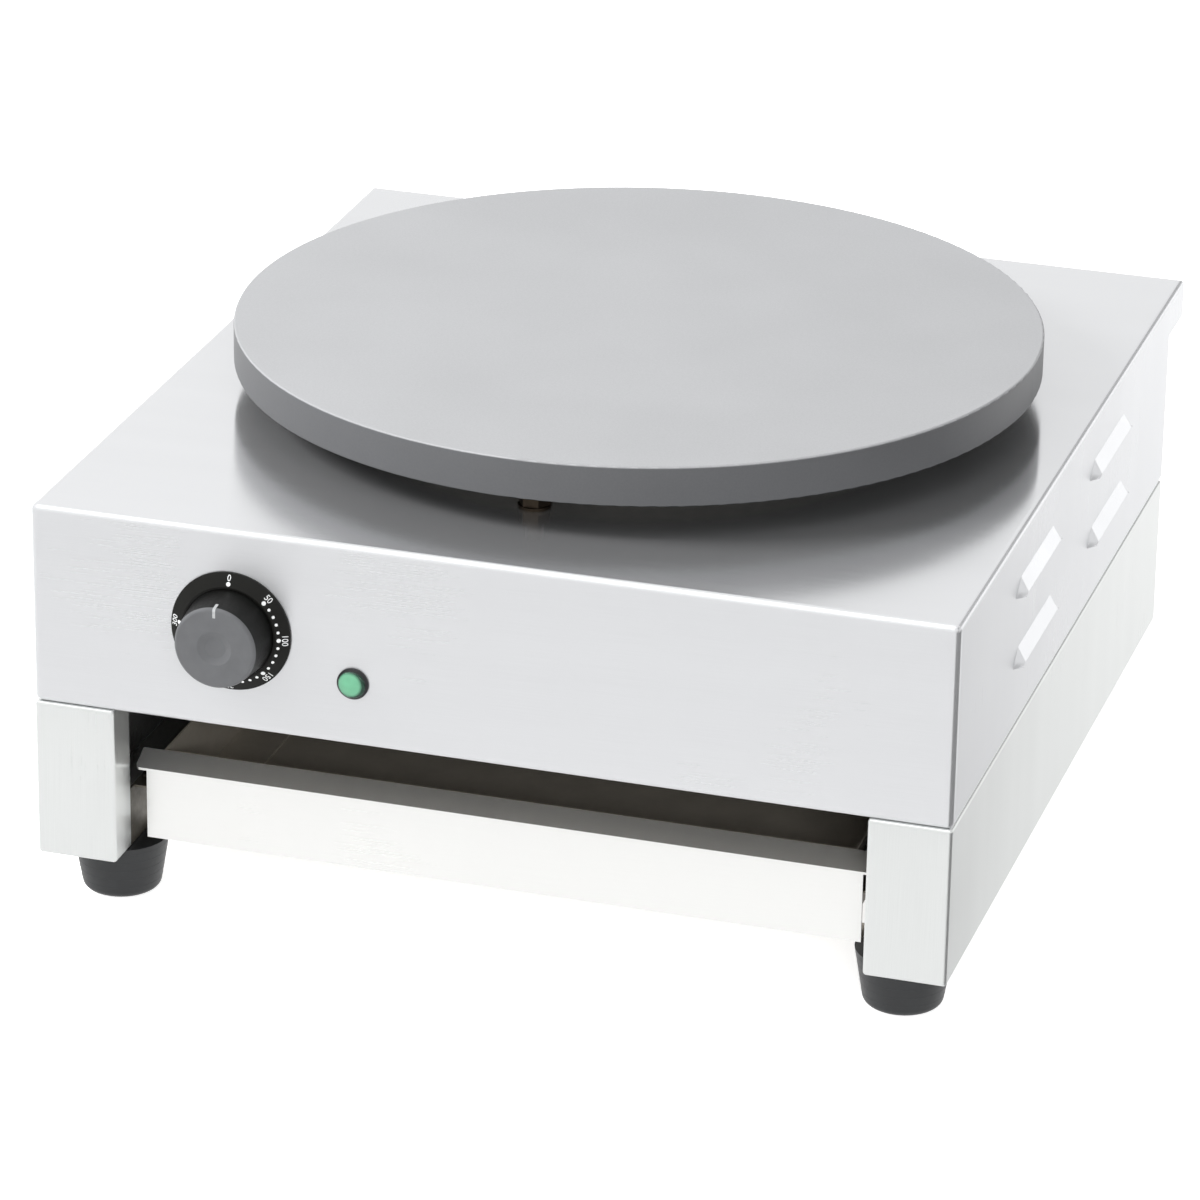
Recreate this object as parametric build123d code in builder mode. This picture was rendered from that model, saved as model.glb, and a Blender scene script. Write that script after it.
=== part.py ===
from build123d import *
import os
from math import radians, sqrt, tan

# Electric crepe maker.
#
# A round cast-iron griddle plate stands on three studs above a folded stainless hood that
# holds the heating and its controls.  Two side channels on rubber feet carry the hood, and a
# shallow drawer hangs between them on two ledges.
#
# Millimetres.  +X is to the right as seen from the front, +Y is to the rear, +Z is up.  The
# origin lies on the surface that the feet stand on, below the middle of the outline.

os.makedirs("parts", exist_ok=True)

# ---- Body -----------------------------------------------------------------------------
body_width = 450.0
body_depth = 456.0  # side panels, front to rear
hood_height = 101.0
base_height = 80.0  # side channels below the hood
rear_overhang = 33.0  # deck beyond the side panels
rear_lip_height = 20.0  # down-turned edge of that overhang

# ---- Sheet metal ----------------------------------------------------------------------
hood_sheet = 1.0
base_sheet = 1.2
hood_fold_radius = 2.2  # inside radius of the hood's folds
channel_fold_radius = 0.6  # inside radius of the channels' folds
seam_flange = 18.0  # flanges that meet in the seam between hood and channels
front_flange = 12.0  # flange under the hood's front panel
rear_flange = 14.0  # flanges that the rear panels are screwed to
panel_margin = 2.5  # rear panels stop this far inside the body's outline
assembly_gap = 0.5  # slack round a sheet that drops in between others

# ---- Side channels and feet -------------------------------------------------------------
post_width = 40.0
return_depth = 20.0  # post's inner face, front to rear
foot_height = 28.0
foot_top_diameter = 47.0
foot_bottom_diameter = 37.5
foot_edge_radius = 4.0
foot_recess_diameter = 16.0
foot_recess_depth = 14.0
foot_from_side = 28.7  # front feet
rear_foot_from_side = 32.0
foot_from_end = 36.0

# ---- Drawer -----------------------------------------------------------------------------
grip_gap = 32.5  # hood's lower edge to the drawer's rim
drawer_height = 33.5  # rim to the inside of the floor
drawer_sheet = 1.0
front_sheet = 1.2
face_recess = 24.0  # drawer face behind the posts
face_height = 36.0
face_margin = 5.5  # face beyond the tray on each side
stiffener_depth = 18.0  # box section behind the foot of the face
grip_overhang = 2.0  # grip lip in front of the face
grip_depth = 11.5  # grip lip, front to rear
grip_drop = 5.5  # fall of the grip lip to the front
grip_clearance = 2.0  # lip's ends to the posts
grip_corner_radius = 2.5
side_foot = 25.0  # side plates' feet on the floor
ledge_drop = 49.3  # hood's lower edge to the ledges
ledge_width = 10.0
runner_foot = 24.0
rail_clearance = 1.3  # rails' upright legs to the ledges
rail_height = 12.0
rail_outer_gap = 1.0  # rails' edges to the posts' inner faces
ear_reach = 5.0  # stop ears beyond the posts' inner faces
ear_length = 8.0
drawer_travel = 300.0
slide_clearance = 0.3

# ---- Griddle plate ------------------------------------------------------------------------
plate_diameter = 400.0
plate_thickness = 20.0
plate_gap = 16.0  # deck to the plate's underside
plate_from_front = 243.5  # front panel to the plate's centre
plate_edge = 1.0
plate_cover = 8.0  # iron left above the blind holes
support_gap = 28.0  # heater pan's rim to the studs' axes
stud_thread = 8.0
support_washer_diameter = 16.0
support_washer_thickness = 1.6

# ---- Heating ------------------------------------------------------------------------------
element_diameter = 6.5
inner_element_radius = 75.0
outer_element_radius = 120.0
inner_leg_offset = 26.0
outer_leg_offset = 12.0
leg_from_centre = 20.0
leg_bend_radius = 10.0
leg_below_deck = 14.0
element_pin_diameter = 4.0
element_pin_length = 10.0
seat_clearance = 0.1  # between pieces of the heating stack
clamp_thickness = 1.5
clamp_margin = 14.0  # clamp disc and insulation beyond the outer ring's axis
insulation_thickness = 3.0
pan_sheet = 0.8
pan_gap = 5.2  # insulation to the pan's wall
well_radius = 42.0  # round well in the stack for legs and capillary
collar_height = 3.0  # raised rim round the deck's opening
collar_gap = 3.0  # deck opening beyond the well
pan_screw_thread = 5.0

# ---- Thermostat, its bulb and the knob ----------------------------------------------------
knob_from_left = 100.5
dial_diameter = 59.5
dial_edge = 1.0
dial_height = 4.2  # top of the ring that borders the knob's seat
dial_floor = 3.2
dial_ring = 1.0
dial_bore = 12.0
knob_base_diameter = 44.0
knob_cap_diameter = 40.0
knob_front = 23.0  # knob's face in front of the panel
knob_wall = 2.5
knob_edge_radius = 1.6
knob_running_gap = 0.4
hub_diameter = 12.0
thumb_recess_diameter = 17.0
thumb_recess_depth = 1.2
pointer_width = 1.4
pointer_on_cap = 3.0  # length of the mark across the cap's rim
pointer_on_side = 5.0  # length of the mark down the side
pointer_depth = 0.6
shaft_diameter = 6.0
shaft_flat = 1.0
shaft_in_body = 12.0
running_clearance = 0.05
spring_thickness = 0.4
thermostat_width = 46.0
thermostat_height = 34.0
thermostat_depth = 35.0
thermostat_edge_radius = 4.2
thermostat_screw_spacing = 28.0
thermostat_thread = 4.0
tab_width = 6.3
tab_thickness = 0.8
tab_length = 8.0
bulb_diameter = 6.0
bulb_length = 50.0
bulb_gap = 20.0  # inner ring's axis to the bulb's
holder_length = 20.0
capillary_diameter = 2.0
capillary_gap = 6.0  # well's edge to the capillary
capillary_drop = 29.0  # below the deck where it turns forward
capillary_bow = 14.0  # sideways slack on its way to the thermostat
capillary_lead = 18.0  # straight lead out of the thermostat

# ---- Pilot lamp ---------------------------------------------------------------------------
lamp_from_knob = 60.3
lamp_below_knob = 18.5
lamp_bezel_diameter = 15.5
lamp_bezel_height = 2.0
lamp_barrel_diameter = 13.0
lamp_wall = 0.6
lamp_lens_height = 3.6
lamp_nut_flats = 18.0
lamp_nut_height = 4.0
lamp_length = 28.0

# ---- Louvres ------------------------------------------------------------------------------
louvre_length = 85.0
louvre_height = 8.0
louvre_depth = 4.0
louvre_end_slope = 9.0
louvre_from_front = 155.5  # front column's centre
louvre_column_spacing = 158.0
louvre_from_seam = 33.5  # lower row's mouth
louvre_row_spacing = 36.0

# ---- Belly plate, rear panels and wiring --------------------------------------------------
intake_count = 5  # slots in each of the two rows under the plate
intake_pitch = 30.0
intake_length = 60.0
intake_width = 5.0
base_flange_depth = 12.0
vent_count = 13
vent_pitch = 24.0
vent_width = 5.0
vent_height = 22.0
vent_below_deck = 36.0
gland_from_right = 75.0
gland_above_seam = 28.0
gland_thread = 16.0
gland_bore = 9.0
gland_flats = 20.0
gland_length = 22.0
gland_thread_length = 9.0
gland_nut_height = 5.0
bonding_from_right = 40.0
bonding_thread = 6.0
bonding_length = 16.0
terminal_width = 42.0
terminal_depth = 22.0
terminal_height = 17.0
terminal_from_rear = 60.0
terminal_bore = 3.0
cutout_diameter = 16.0
cutout_height = 10.0
cutout_gap = 35.0  # deck's opening to the cut-out's axis

# ---- Fasteners ----------------------------------------------------------------------------
foot_thread = 6.0
body_thread = 4.0
panel_thread = 3.5
screw_clearance = 0.25  # radial
head_ratio = 2.0  # head diameter over thread
head_height_ratio = 0.6
flats_ratio = 1.65  # nut across flats over thread
nut_height_ratio = 0.8
body_screw_count = 3  # on each side
panel_screw_count = 3  # on each side of the rear panel
screw_from_end = 60.0
panel_screw_length = 8.0

# ---- Levels and places that follow ----------------------------------------------------------
half_width = body_width / 2
base_z = foot_height
seam_z = base_z + base_height
deck_z = seam_z + hood_height
plate_z = deck_z + plate_gap
deck_depth = body_depth + rear_overhang
front_y = (knob_front - deck_depth) / 2
rear_y = front_y + body_depth
lip_y = front_y + deck_depth
plate_y = front_y + plate_from_front
clamp_radius = outer_element_radius + clamp_margin
pan_radius = clamp_radius + pan_gap + pan_sheet
stud_radius = pan_radius + support_gap
pan_screw_radius = (inner_element_radius + outer_element_radius) / 2
collar_radius = well_radius + collar_gap
under_deck = deck_z - hood_sheet
post_x = half_width - post_width
knob_x = knob_from_left - half_width
knob_z = seam_z + hood_height / 2
lamp_x = knob_x + lamp_from_knob
lamp_z = knob_z - lamp_below_knob
inside_y = front_y + hood_sheet  # front panel's inner face
foot_places = (
    (half_width - foot_from_side, front_y + foot_from_end),
    (half_width - rear_foot_from_side, rear_y - foot_from_end),
)
seam_screw_x = half_width - seam_flange / 2
seam_screw_span = body_depth - 2 * screw_from_end
seam_screw_ys = [
    front_y + screw_from_end + i * seam_screw_span / (body_screw_count - 1)
    for i in range(body_screw_count)
]
panel_screw_x = half_width - (panel_margin + rear_flange) / 2
belly_top = seam_z + 2 * hood_sheet
foot_hole = foot_thread / 2 + screw_clearance
body_hole = body_thread / 2 + screw_clearance
panel_hole = panel_thread / 2 + screw_clearance
stud_hole = stud_thread / 2 + screw_clearance
thermostat_hole = thermostat_thread / 2 + screw_clearance
thermostat_screw_xs = (
    knob_x - thermostat_screw_spacing / 2,
    knob_x + thermostat_screw_spacing / 2,
)


def block(x, y, z, mode=Mode.ADD):
    """Add or cut a block between two values of x, of y and of z."""
    with Locations(((x[0] + x[1]) / 2, (y[0] + y[1]) / 2, (z[0] + z[1]) / 2)):
        Box(x[1] - x[0], y[1] - y[0], z[1] - z[0], mode=mode)


def rod(start, end, radius, mode=Mode.ADD):
    """Add or cut a round bar from start to end."""
    run = Vector(end) - Vector(start)
    with Locations(Plane(origin=start, z_dir=run)):
        Cylinder(radius, run.length, align=(Align.CENTER, Align.CENTER, Align.MIN), mode=mode)


def screw(seat, tip, thread):
    """Add a screw whose head stands on seat and whose shank ends at tip."""
    run = Vector(tip) - Vector(seat)
    head_top = Vector(seat) - run.normalized() * (head_height_ratio * thread)
    rod(seat, tip, thread / 2)
    rod(seat, head_top, head_ratio * thread / 2)


def nut(seat, direction, thread):
    """Add a hexagon nut that stands on seat."""
    hexagon(seat, direction, flats_ratio * thread, thread, nut_height_ratio * thread)


def hexagon(seat, direction, flats, bore, height):
    """Add a hexagon with a round bore that stands on seat."""
    with BuildSketch(Plane(origin=seat, z_dir=direction)) as outline:
        RegularPolygon(flats / 2, 6, major_radius=False)
        Circle(bore / 2, mode=Mode.SUBTRACT)
    extrude(outline.sketch, amount=height)


def turned(origin, height_dir, outline, mode=Mode.ADD):
    """Turn an outline, given as radius and height, round the line through origin."""
    section = Plane(origin=origin, x_dir=(1, 0, 0), z_dir=Vector(1, 0, 0).cross(Vector(height_dir)))
    with BuildSketch(section) as profile:
        Polygon(*outline, align=None)
    revolve(profile.sketch, axis=Axis(origin, height_dir), mode=mode)


def tube(points, bend_radii, diameter):
    """Add a round tube along straight runs joined by arcs."""
    with BuildLine() as route:
        FilletPolyline(*points, radius=bend_radii)
    with BuildSketch(route.line ^ 0) as section:
        Circle(diameter / 2)
    sweep(section.sketch, path=route.line)


def easy_bends(points):
    """Radii that fill each corner of a route: 0.45 of its shorter run over tan(turn / 2)."""
    radii = []
    for before, corner, after in zip(points, points[1:], points[2:]):
        run_in = Vector(corner) - Vector(before)
        run_out = Vector(after) - Vector(corner)
        half_turn = radians(run_in.get_angle(run_out) / 2)
        radii.append(0.45 * min(run_in.length, run_out.length) / tan(half_turn))
    return radii


def around_plate(radius, count, start_angle):
    """Places on a circle round the plate's axis, at level zero."""
    with Locations((0, plate_y)):
        spots = PolarLocations(radius, count, start_angle)
    return [spot.position for spot in spots]


def at(spot, level):
    """The point above or below spot at a level."""
    return Vector(spot.X, spot.Y, level)


def folded_edges(shape):
    """Edges that a hood-shaped block is folded along: all but those of its rear mouth."""
    top = shape.faces().sort_by(Axis.Z)[-1].edges()
    bottom = shape.faces().sort_by(Axis.Z)[0].edges().sort_by(Axis.Y)[:-1]
    corners = shape.edges().filter_by(Axis.Z).group_by(Axis.Y)[0]
    return top + bottom + corners


support_spots = around_plate(stud_radius, 3, -90)
pan_screw_spots = around_plate(pan_screw_radius, 3, -90)

# ==== Hood =================================================================================
louvre_half = louvre_length / 2


def louvre(end_inset):
    """Pressed louvre over the local YZ plane, its straight mouth on the local Y axis."""
    base_half = louvre_half - end_inset
    for_root = (base_half, base_half - louvre_end_slope, louvre_height)
    for_crest = (base_half - louvre_end_slope / 2, base_half - louvre_end_slope, hood_sheet)
    sections = []
    for offset, (low, high, height) in ((0, for_root), (louvre_depth, for_crest)):
        with BuildSketch(Plane.YZ.offset(offset)) as section:
            Polygon((-low, 0), (low, 0), (high, height), (-high, height), align=None)
        sections.append(section.sketch)
    loft(sections)


with BuildPart() as louvre_skin:
    louvre(0)

with BuildPart() as louvre_hollow:
    louvre(hood_sheet)

louvre_ys = [front_y + louvre_from_front + i * louvre_column_spacing for i in range(2)]
louvre_zs = [seam_z + louvre_from_seam + i * louvre_row_spacing for i in range(2)]

with BuildPart() as hood_cavity:
    inside_x = (hood_sheet - half_width, half_width - hood_sheet)
    block(inside_x, (inside_y, rear_y - hood_sheet), (seam_z + hood_sheet, deck_z - hood_sheet))
    block(inside_x, (inside_y, lip_y - hood_sheet), (deck_z - rear_lip_height, deck_z - hood_sheet))
    fillet(folded_edges(hood_cavity), hood_fold_radius)

with BuildPart() as hood:
    block((-half_width, half_width), (front_y, rear_y), (seam_z, deck_z))
    block((-half_width, half_width), (rear_y, lip_y), (deck_z - rear_lip_height, deck_z))
    fillet(folded_edges(hood), hood_fold_radius + hood_sheet)
    add(hood_cavity.part, mode=Mode.SUBTRACT)
    # Openings left between the flanges underneath and at the rear
    seam_x = half_width - seam_flange
    block((-seam_x, seam_x), (front_y + front_flange, rear_y), (seam_z, seam_z + hood_sheet), Mode.SUBTRACT)
    mouth_x = half_width - rear_flange
    block((-mouth_x, mouth_x), (rear_y - hood_sheet, rear_y), (seam_z, deck_z - hood_sheet), Mode.SUBTRACT)
    # Louvres on both sides
    for side in (1, -1):
        turn = (0, 0, 90 - 90 * side)
        faces_out = [Location((side * half_width, y, z), turn) for y in louvre_ys for z in louvre_zs]
        inner = side * (half_width - hood_sheet)
        faces_in = [Location((inner, y, z), turn) for y in louvre_ys for z in louvre_zs]
        with Locations(*faces_out):
            add(louvre_skin.part)
        with Locations(*faces_in):
            add(louvre_hollow.part, mode=Mode.SUBTRACT)
    # Collar round the well, and the openings in the deck
    well = (0, plate_y, under_deck)
    rod(well, (0, plate_y, deck_z + collar_height), collar_radius + hood_sheet)
    rod(well, (0, plate_y, deck_z + collar_height), collar_radius, Mode.SUBTRACT)
    for spot in support_spots:
        rod(at(spot, under_deck), at(spot, deck_z), stud_hole, Mode.SUBTRACT)
    # Openings in the front panel
    rod((knob_x, front_y, knob_z), (knob_x, inside_y, knob_z), dial_bore / 2, Mode.SUBTRACT)
    for x in thermostat_screw_xs:
        rod((x, front_y, knob_z), (x, inside_y, knob_z), thermostat_hole, Mode.SUBTRACT)
    lamp_hole = lamp_barrel_diameter / 2 + screw_clearance
    rod((lamp_x, front_y, lamp_z), (lamp_x, inside_y, lamp_z), lamp_hole, Mode.SUBTRACT)
    # Screw holes in the flanges
    for x in (-seam_screw_x, seam_screw_x):
        for y in seam_screw_ys:
            rod((x, y, seam_z), (x, y, seam_z + hood_sheet), body_hole, Mode.SUBTRACT)
    panel_low = seam_z + rear_flange
    panel_high = deck_z - rear_lip_height - rear_flange
    panel_step = (panel_high - panel_low) / (panel_screw_count - 1)
    panel_screw_zs = [panel_low + i * panel_step for i in range(panel_screw_count)]
    for x in (-panel_screw_x, panel_screw_x):
        for z in panel_screw_zs:
            rod((x, rear_y - hood_sheet, z), (x, rear_y, z), panel_thread / 2, Mode.SUBTRACT)

hood.part.label = "hood"
export_step(hood.part, "parts/hood.step")

# ==== Belly plate: closes the hood underneath ==============================================
belly_x = half_width - hood_sheet - hood_fold_radius

with BuildPart() as belly_plate:
    block(
        (-belly_x, belly_x),
        (inside_y + hood_fold_radius, rear_y - hood_sheet - assembly_gap),
        (seam_z + hood_sheet, belly_top),
    )
    fillet(belly_plate.edges().filter_by(Axis.Z), hood_fold_radius)
    for x in (-seam_screw_x, seam_screw_x):
        for y in seam_screw_ys:
            rod((x, y, seam_z + hood_sheet), (x, y, belly_top), body_hole, Mode.SUBTRACT)
    with BuildSketch(Plane.XY.offset(belly_top)):
        with Locations((0, plate_y)):
            with GridLocations(intake_pitch, 2 * intake_length, intake_count, 2):
                SlotOverall(intake_length, intake_width, rotation=90)
    extrude(amount=-hood_sheet, mode=Mode.SUBTRACT)

belly_plate.part.label = "belly_plate"
export_step(belly_plate.part, "parts/belly_plate.step")

# ==== Rear panel of the hood ===============================================================
rear_x = half_width - panel_margin
gland_x = half_width - gland_from_right
gland_z = seam_z + gland_above_seam
bonding_x = half_width - bonding_from_right

with BuildPart() as rear_panel:
    block(
        (-rear_x, rear_x),
        (rear_y, rear_y + hood_sheet),
        (seam_z + panel_margin, deck_z - hood_sheet - assembly_gap),
    )
    with BuildSketch(Plane.XZ.offset(-rear_y - hood_sheet)):
        with Locations((0, deck_z - vent_below_deck)):
            with GridLocations(vent_pitch, vent_height, vent_count, 1):
                SlotOverall(vent_height, vent_width, rotation=90)
    extrude(amount=hood_sheet, mode=Mode.SUBTRACT)
    back_y = rear_y + hood_sheet
    rod((gland_x, rear_y, gland_z), (gland_x, back_y, gland_z), gland_thread / 2, Mode.SUBTRACT)
    rod((bonding_x, rear_y, gland_z), (bonding_x, back_y, gland_z), bonding_thread / 2, Mode.SUBTRACT)
    for x in (-panel_screw_x, panel_screw_x):
        for z in panel_screw_zs:
            rod((x, rear_y, z), (x, back_y, z), panel_hole, Mode.SUBTRACT)

rear_panel.part.label = "rear_panel"
export_step(rear_panel.part, "parts/rear_panel.step")

# ==== Side channels ========================================================================
outer_fold = channel_fold_radius + base_sheet

with BuildPart() as channel_cavity:
    block(
        (post_x + base_sheet, half_width - base_sheet),
        (front_y + base_sheet, rear_y - base_sheet),
        (base_z + base_sheet, seam_z - base_sheet),
    )
    cavity_front = channel_cavity.faces().sort_by(Axis.Y)[0].edges()
    cavity_long = channel_cavity.edges().filter_by(Axis.Y)
    fillet(cavity_front + cavity_long, channel_fold_radius)

with BuildPart() as right_channel:
    block((post_x, half_width), (front_y, rear_y), (base_z, seam_z))
    channel_front = right_channel.faces().sort_by(Axis.Y)[0].edges()
    channel_long = right_channel.edges().filter_by(Axis.Y)
    fillet(channel_front + channel_long, outer_fold)
    add(channel_cavity.part, mode=Mode.SUBTRACT)
    # Behind the post the inner side is open, and so is the top beside its flange
    open_ys = (front_y + return_depth, rear_y)
    block((post_x, post_x + outer_fold), open_ys, (base_z + base_sheet, seam_z), Mode.SUBTRACT)
    top_gap = (post_x, half_width - seam_flange)
    block(top_gap, open_ys, (seam_z - outer_fold, seam_z), Mode.SUBTRACT)
    rear_window = (post_x, half_width - rear_flange - panel_margin)
    block(rear_window, (rear_y - outer_fold, rear_y), (base_z + base_sheet, seam_z), Mode.SUBTRACT)
    for x, y in foot_places:
        rod((x, y, base_z), (x, y, base_z + base_sheet), foot_hole, Mode.SUBTRACT)
    for y in seam_screw_ys:
        rod((seam_screw_x, y, seam_z - base_sheet), (seam_screw_x, y, seam_z), body_hole, Mode.SUBTRACT)
    base_screw_zs = (base_z + rear_flange, seam_z - rear_flange)
    for z in base_screw_zs:
        hole_start = (panel_screw_x, rear_y - base_sheet, z)
        rod(hole_start, (panel_screw_x, rear_y, z), panel_thread / 2, Mode.SUBTRACT)

with BuildPart() as side_channel_right:
    add(right_channel.part)

side_channel_right.part.label = "side_channel_right"
export_step(side_channel_right.part, "parts/side_channel_right.step")

with BuildPart() as side_channel_left:
    mirror(right_channel.part, about=Plane.YZ)

side_channel_left.part.label = "side_channel_left"
export_step(side_channel_left.part, "parts/side_channel_left.step")

# ==== Runners: the ledges that the drawer slides on ========================================
ledge_z = seam_z - ledge_drop
runner_floor = base_z + base_sheet
runner_ys = (front_y + return_depth + assembly_gap, rear_y - base_sheet - assembly_gap)
ledge_x = post_x - ledge_width
drawer_face_y = front_y + face_recess
ledge_front_y = drawer_face_y + front_sheet + assembly_gap

with BuildPart() as right_runner:
    block((ledge_x, post_x), (ledge_front_y, runner_ys[1]), (ledge_z - base_sheet, ledge_z))
    block((post_x, post_x + base_sheet), runner_ys, (runner_floor + base_sheet, ledge_z))
    block((post_x, post_x + runner_foot), runner_ys, (runner_floor, runner_floor + base_sheet))
    for x, y in foot_places:
        rod((x, y, runner_floor), (x, y, runner_floor + base_sheet), foot_hole, Mode.SUBTRACT)

with BuildPart() as drawer_runner_right:
    add(right_runner.part)

drawer_runner_right.part.label = "drawer_runner_right"
export_step(drawer_runner_right.part, "parts/drawer_runner_right.step")

with BuildPart() as drawer_runner_left:
    mirror(right_runner.part, about=Plane.YZ)

drawer_runner_left.part.label = "drawer_runner_left"
export_step(drawer_runner_left.part, "parts/drawer_runner_left.step")

# ==== Base rear panel: ties the channels together behind the drawer ========================
stiffener_x = post_x - assembly_gap
base_panel_zs = (base_z + panel_margin, seam_z - panel_margin)
with BuildPart() as base_rear_panel:
    block((-rear_x, rear_x), (rear_y, rear_y + base_sheet), base_panel_zs)
    low, high = base_panel_zs
    flange_ys = (rear_y - base_flange_depth, rear_y)
    block((-stiffener_x, stiffener_x), flange_ys, (low, low + base_sheet))
    block((-stiffener_x, stiffener_x), flange_ys, (high - base_sheet, high))
    for x in (-panel_screw_x, panel_screw_x):
        for z in base_screw_zs:
            rod((x, rear_y, z), (x, rear_y + base_sheet, z), panel_hole, Mode.SUBTRACT)

base_rear_panel.part.label = "base_rear_panel"
export_step(base_rear_panel.part, "parts/base_rear_panel.step")

# ==== Feet =================================================================================
foot_outline = [
    (foot_hole, foot_recess_depth),
    (foot_recess_diameter / 2, foot_recess_depth),
    (foot_recess_diameter / 2, 0),
    (foot_bottom_diameter / 2, 0),
    (foot_top_diameter / 2, foot_height),
    (foot_hole, foot_height),
]
foot_names = ("foot_front_left", "foot_rear_left", "foot_front_right", "foot_rear_right")
foot_spots = [(side * x, y) for side in (-1, 1) for x, y in foot_places]

for foot_name, (x, y) in zip(foot_names, foot_spots):
    with BuildPart() as foot:
        turned((x, y, 0), (0, 0, 1), foot_outline)
        low_edges = foot.edges().filter_by(GeomType.CIRCLE).group_by(Axis.Z)[0]
        fillet(low_edges.sort_by(SortBy.RADIUS)[-1], foot_edge_radius)
    foot.part.label = foot_name
    export_step(foot.part, f"parts/{foot_name}.step")

foot_nut_z = runner_floor + base_sheet
with BuildPart() as foot_screws:
    for x, y in foot_spots:
        screw((x, y, foot_recess_depth), (x, y, foot_nut_z + foot_thread), foot_thread)

foot_screws.part.label = "foot_screws"
export_step(foot_screws.part, "parts/foot_screws.step")

with BuildPart() as foot_nuts:
    for x, y in foot_spots:
        nut((x, y, foot_nut_z), (0, 0, 1), foot_thread)

foot_nuts.part.label = "foot_nuts"
export_step(foot_nuts.part, "parts/foot_nuts.step")

# ==== Screws between channels, hood and belly plate ========================================
with BuildPart() as body_screws:
    for x in (-seam_screw_x, seam_screw_x):
        for y in seam_screw_ys:
            screw((x, y, seam_z - base_sheet), (x, y, belly_top + body_thread), body_thread)

body_screws.part.label = "body_screws"
export_step(body_screws.part, "parts/body_screws.step")

with BuildPart() as body_nuts:
    for x in (-seam_screw_x, seam_screw_x):
        for y in seam_screw_ys:
            nut((x, y, belly_top), (0, 0, 1), body_thread)

body_nuts.part.label = "body_nuts"
export_step(body_nuts.part, "parts/body_nuts.step")

with BuildPart() as rear_screws:
    for x in (-panel_screw_x, panel_screw_x):
        for z in panel_screw_zs:
            seat_y = rear_y + hood_sheet
            screw((x, seat_y, z), (x, seat_y - panel_screw_length, z), panel_thread)
        for z in base_screw_zs:
            seat_y = rear_y + base_sheet
            screw((x, seat_y, z), (x, seat_y - panel_screw_length, z), panel_thread)

rear_screws.part.label = "rear_screws"
export_step(rear_screws.part, "parts/rear_screws.step")

# ==== Griddle plate and its supports =======================================================
hole_top = plate_z + plate_thickness - plate_cover

with BuildPart() as cooking_plate:
    with BuildSketch(Plane.XY.offset(plate_z)):
        with Locations((0, plate_y)):
            Circle(plate_diameter / 2)
    extrude(amount=plate_thickness)
    rims = cooking_plate.edges().filter_by(GeomType.CIRCLE)
    fillet(rims, plate_edge)
    for spot in support_spots:
        rod(at(spot, plate_z), at(spot, hole_top), stud_thread / 2, Mode.SUBTRACT)
    for spot in pan_screw_spots:
        rod(at(spot, plate_z), at(spot, hole_top), pan_screw_thread / 2, Mode.SUBTRACT)

cooking_plate.part.label = "cooking_plate"
export_step(cooking_plate.part, "parts/cooking_plate.step")

washer_top = deck_z + support_washer_thickness
support_nut_height = nut_height_ratio * stud_thread

with BuildPart() as plate_studs:
    for spot in support_spots:
        tip = at(spot, under_deck - 1.5 * support_nut_height)
        rod(tip, at(spot, hole_top), stud_thread / 2)

plate_studs.part.label = "plate_studs"
export_step(plate_studs.part, "parts/plate_studs.step")

with BuildPart() as support_washers:
    for spot in support_spots:
        deck_spot = at(spot, deck_z)
        top_spot = at(spot, washer_top)
        rod(deck_spot, top_spot, support_washer_diameter / 2)
        rod(deck_spot, top_spot, stud_hole, Mode.SUBTRACT)

support_washers.part.label = "support_washers"
export_step(support_washers.part, "parts/support_washers.step")

with BuildPart() as levelling_nuts:
    for spot in support_spots:
        nut(at(spot, washer_top), (0, 0, 1), stud_thread)

levelling_nuts.part.label = "levelling_nuts"
export_step(levelling_nuts.part, "parts/levelling_nuts.step")

with BuildPart() as support_locknuts:
    for spot in support_spots:
        nut(at(spot, under_deck), (0, 0, -1), stud_thread)

support_locknuts.part.label = "support_locknuts"
export_step(support_locknuts.part, "parts/support_locknuts.step")

# ==== Heating elements =====================================================================
element_z = plate_z - seat_clearance - element_diameter / 2
leg_end_z = deck_z - leg_below_deck


def heating_element(ring_radius, leg_offset):
    """Tubular ring with its gap to the rear and both legs turned inwards and down."""
    bend = leg_bend_radius
    reach = sqrt((ring_radius - bend) ** 2 - (leg_offset + bend) ** 2)
    joint_scale = ring_radius / (ring_radius - bend)
    joint_x = joint_scale * (leg_offset + bend)
    joint_y = plate_y + joint_scale * reach
    leg_y = plate_y + leg_from_centre
    with BuildLine() as route:
        for side in (1, -1):
            x = side * leg_offset
            foot = (x, leg_y, leg_end_z)
            knee = (x, leg_y, element_z - bend)
            hip = (x, leg_y + bend, element_z)
            turn_in = (x, plate_y + reach, element_z)
            Line(foot, knee)
            TangentArc(knee, hip, tangent=(0, 0, 1))
            Line(hip, turn_in)
            TangentArc(turn_in, (side * joint_x, joint_y, element_z), tangent=(0, 1, 0))
        front = (0, plate_y - ring_radius, element_z)
        ThreePointArc((joint_x, joint_y, element_z), front, (-joint_x, joint_y, element_z))
    start = (leg_offset, leg_y, leg_end_z)
    with BuildSketch(Plane(origin=start, z_dir=(0, 0, 1))) as section:
        Circle(element_diameter / 2)
    sweep(section.sketch, path=route.wires()[0])
    for side in (1, -1):
        pin_top = (side * leg_offset, leg_y, leg_end_z)
        pin_tip = (side * leg_offset, leg_y, leg_end_z - element_pin_length)
        rod(pin_top, pin_tip, element_pin_diameter / 2)


with BuildPart() as heating_element_inner:
    heating_element(inner_element_radius, inner_leg_offset)

heating_element_inner.part.label = "heating_element_inner"
export_step(heating_element_inner.part, "parts/heating_element_inner.step")

with BuildPart() as heating_element_outer:
    heating_element(outer_element_radius, outer_leg_offset)

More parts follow.
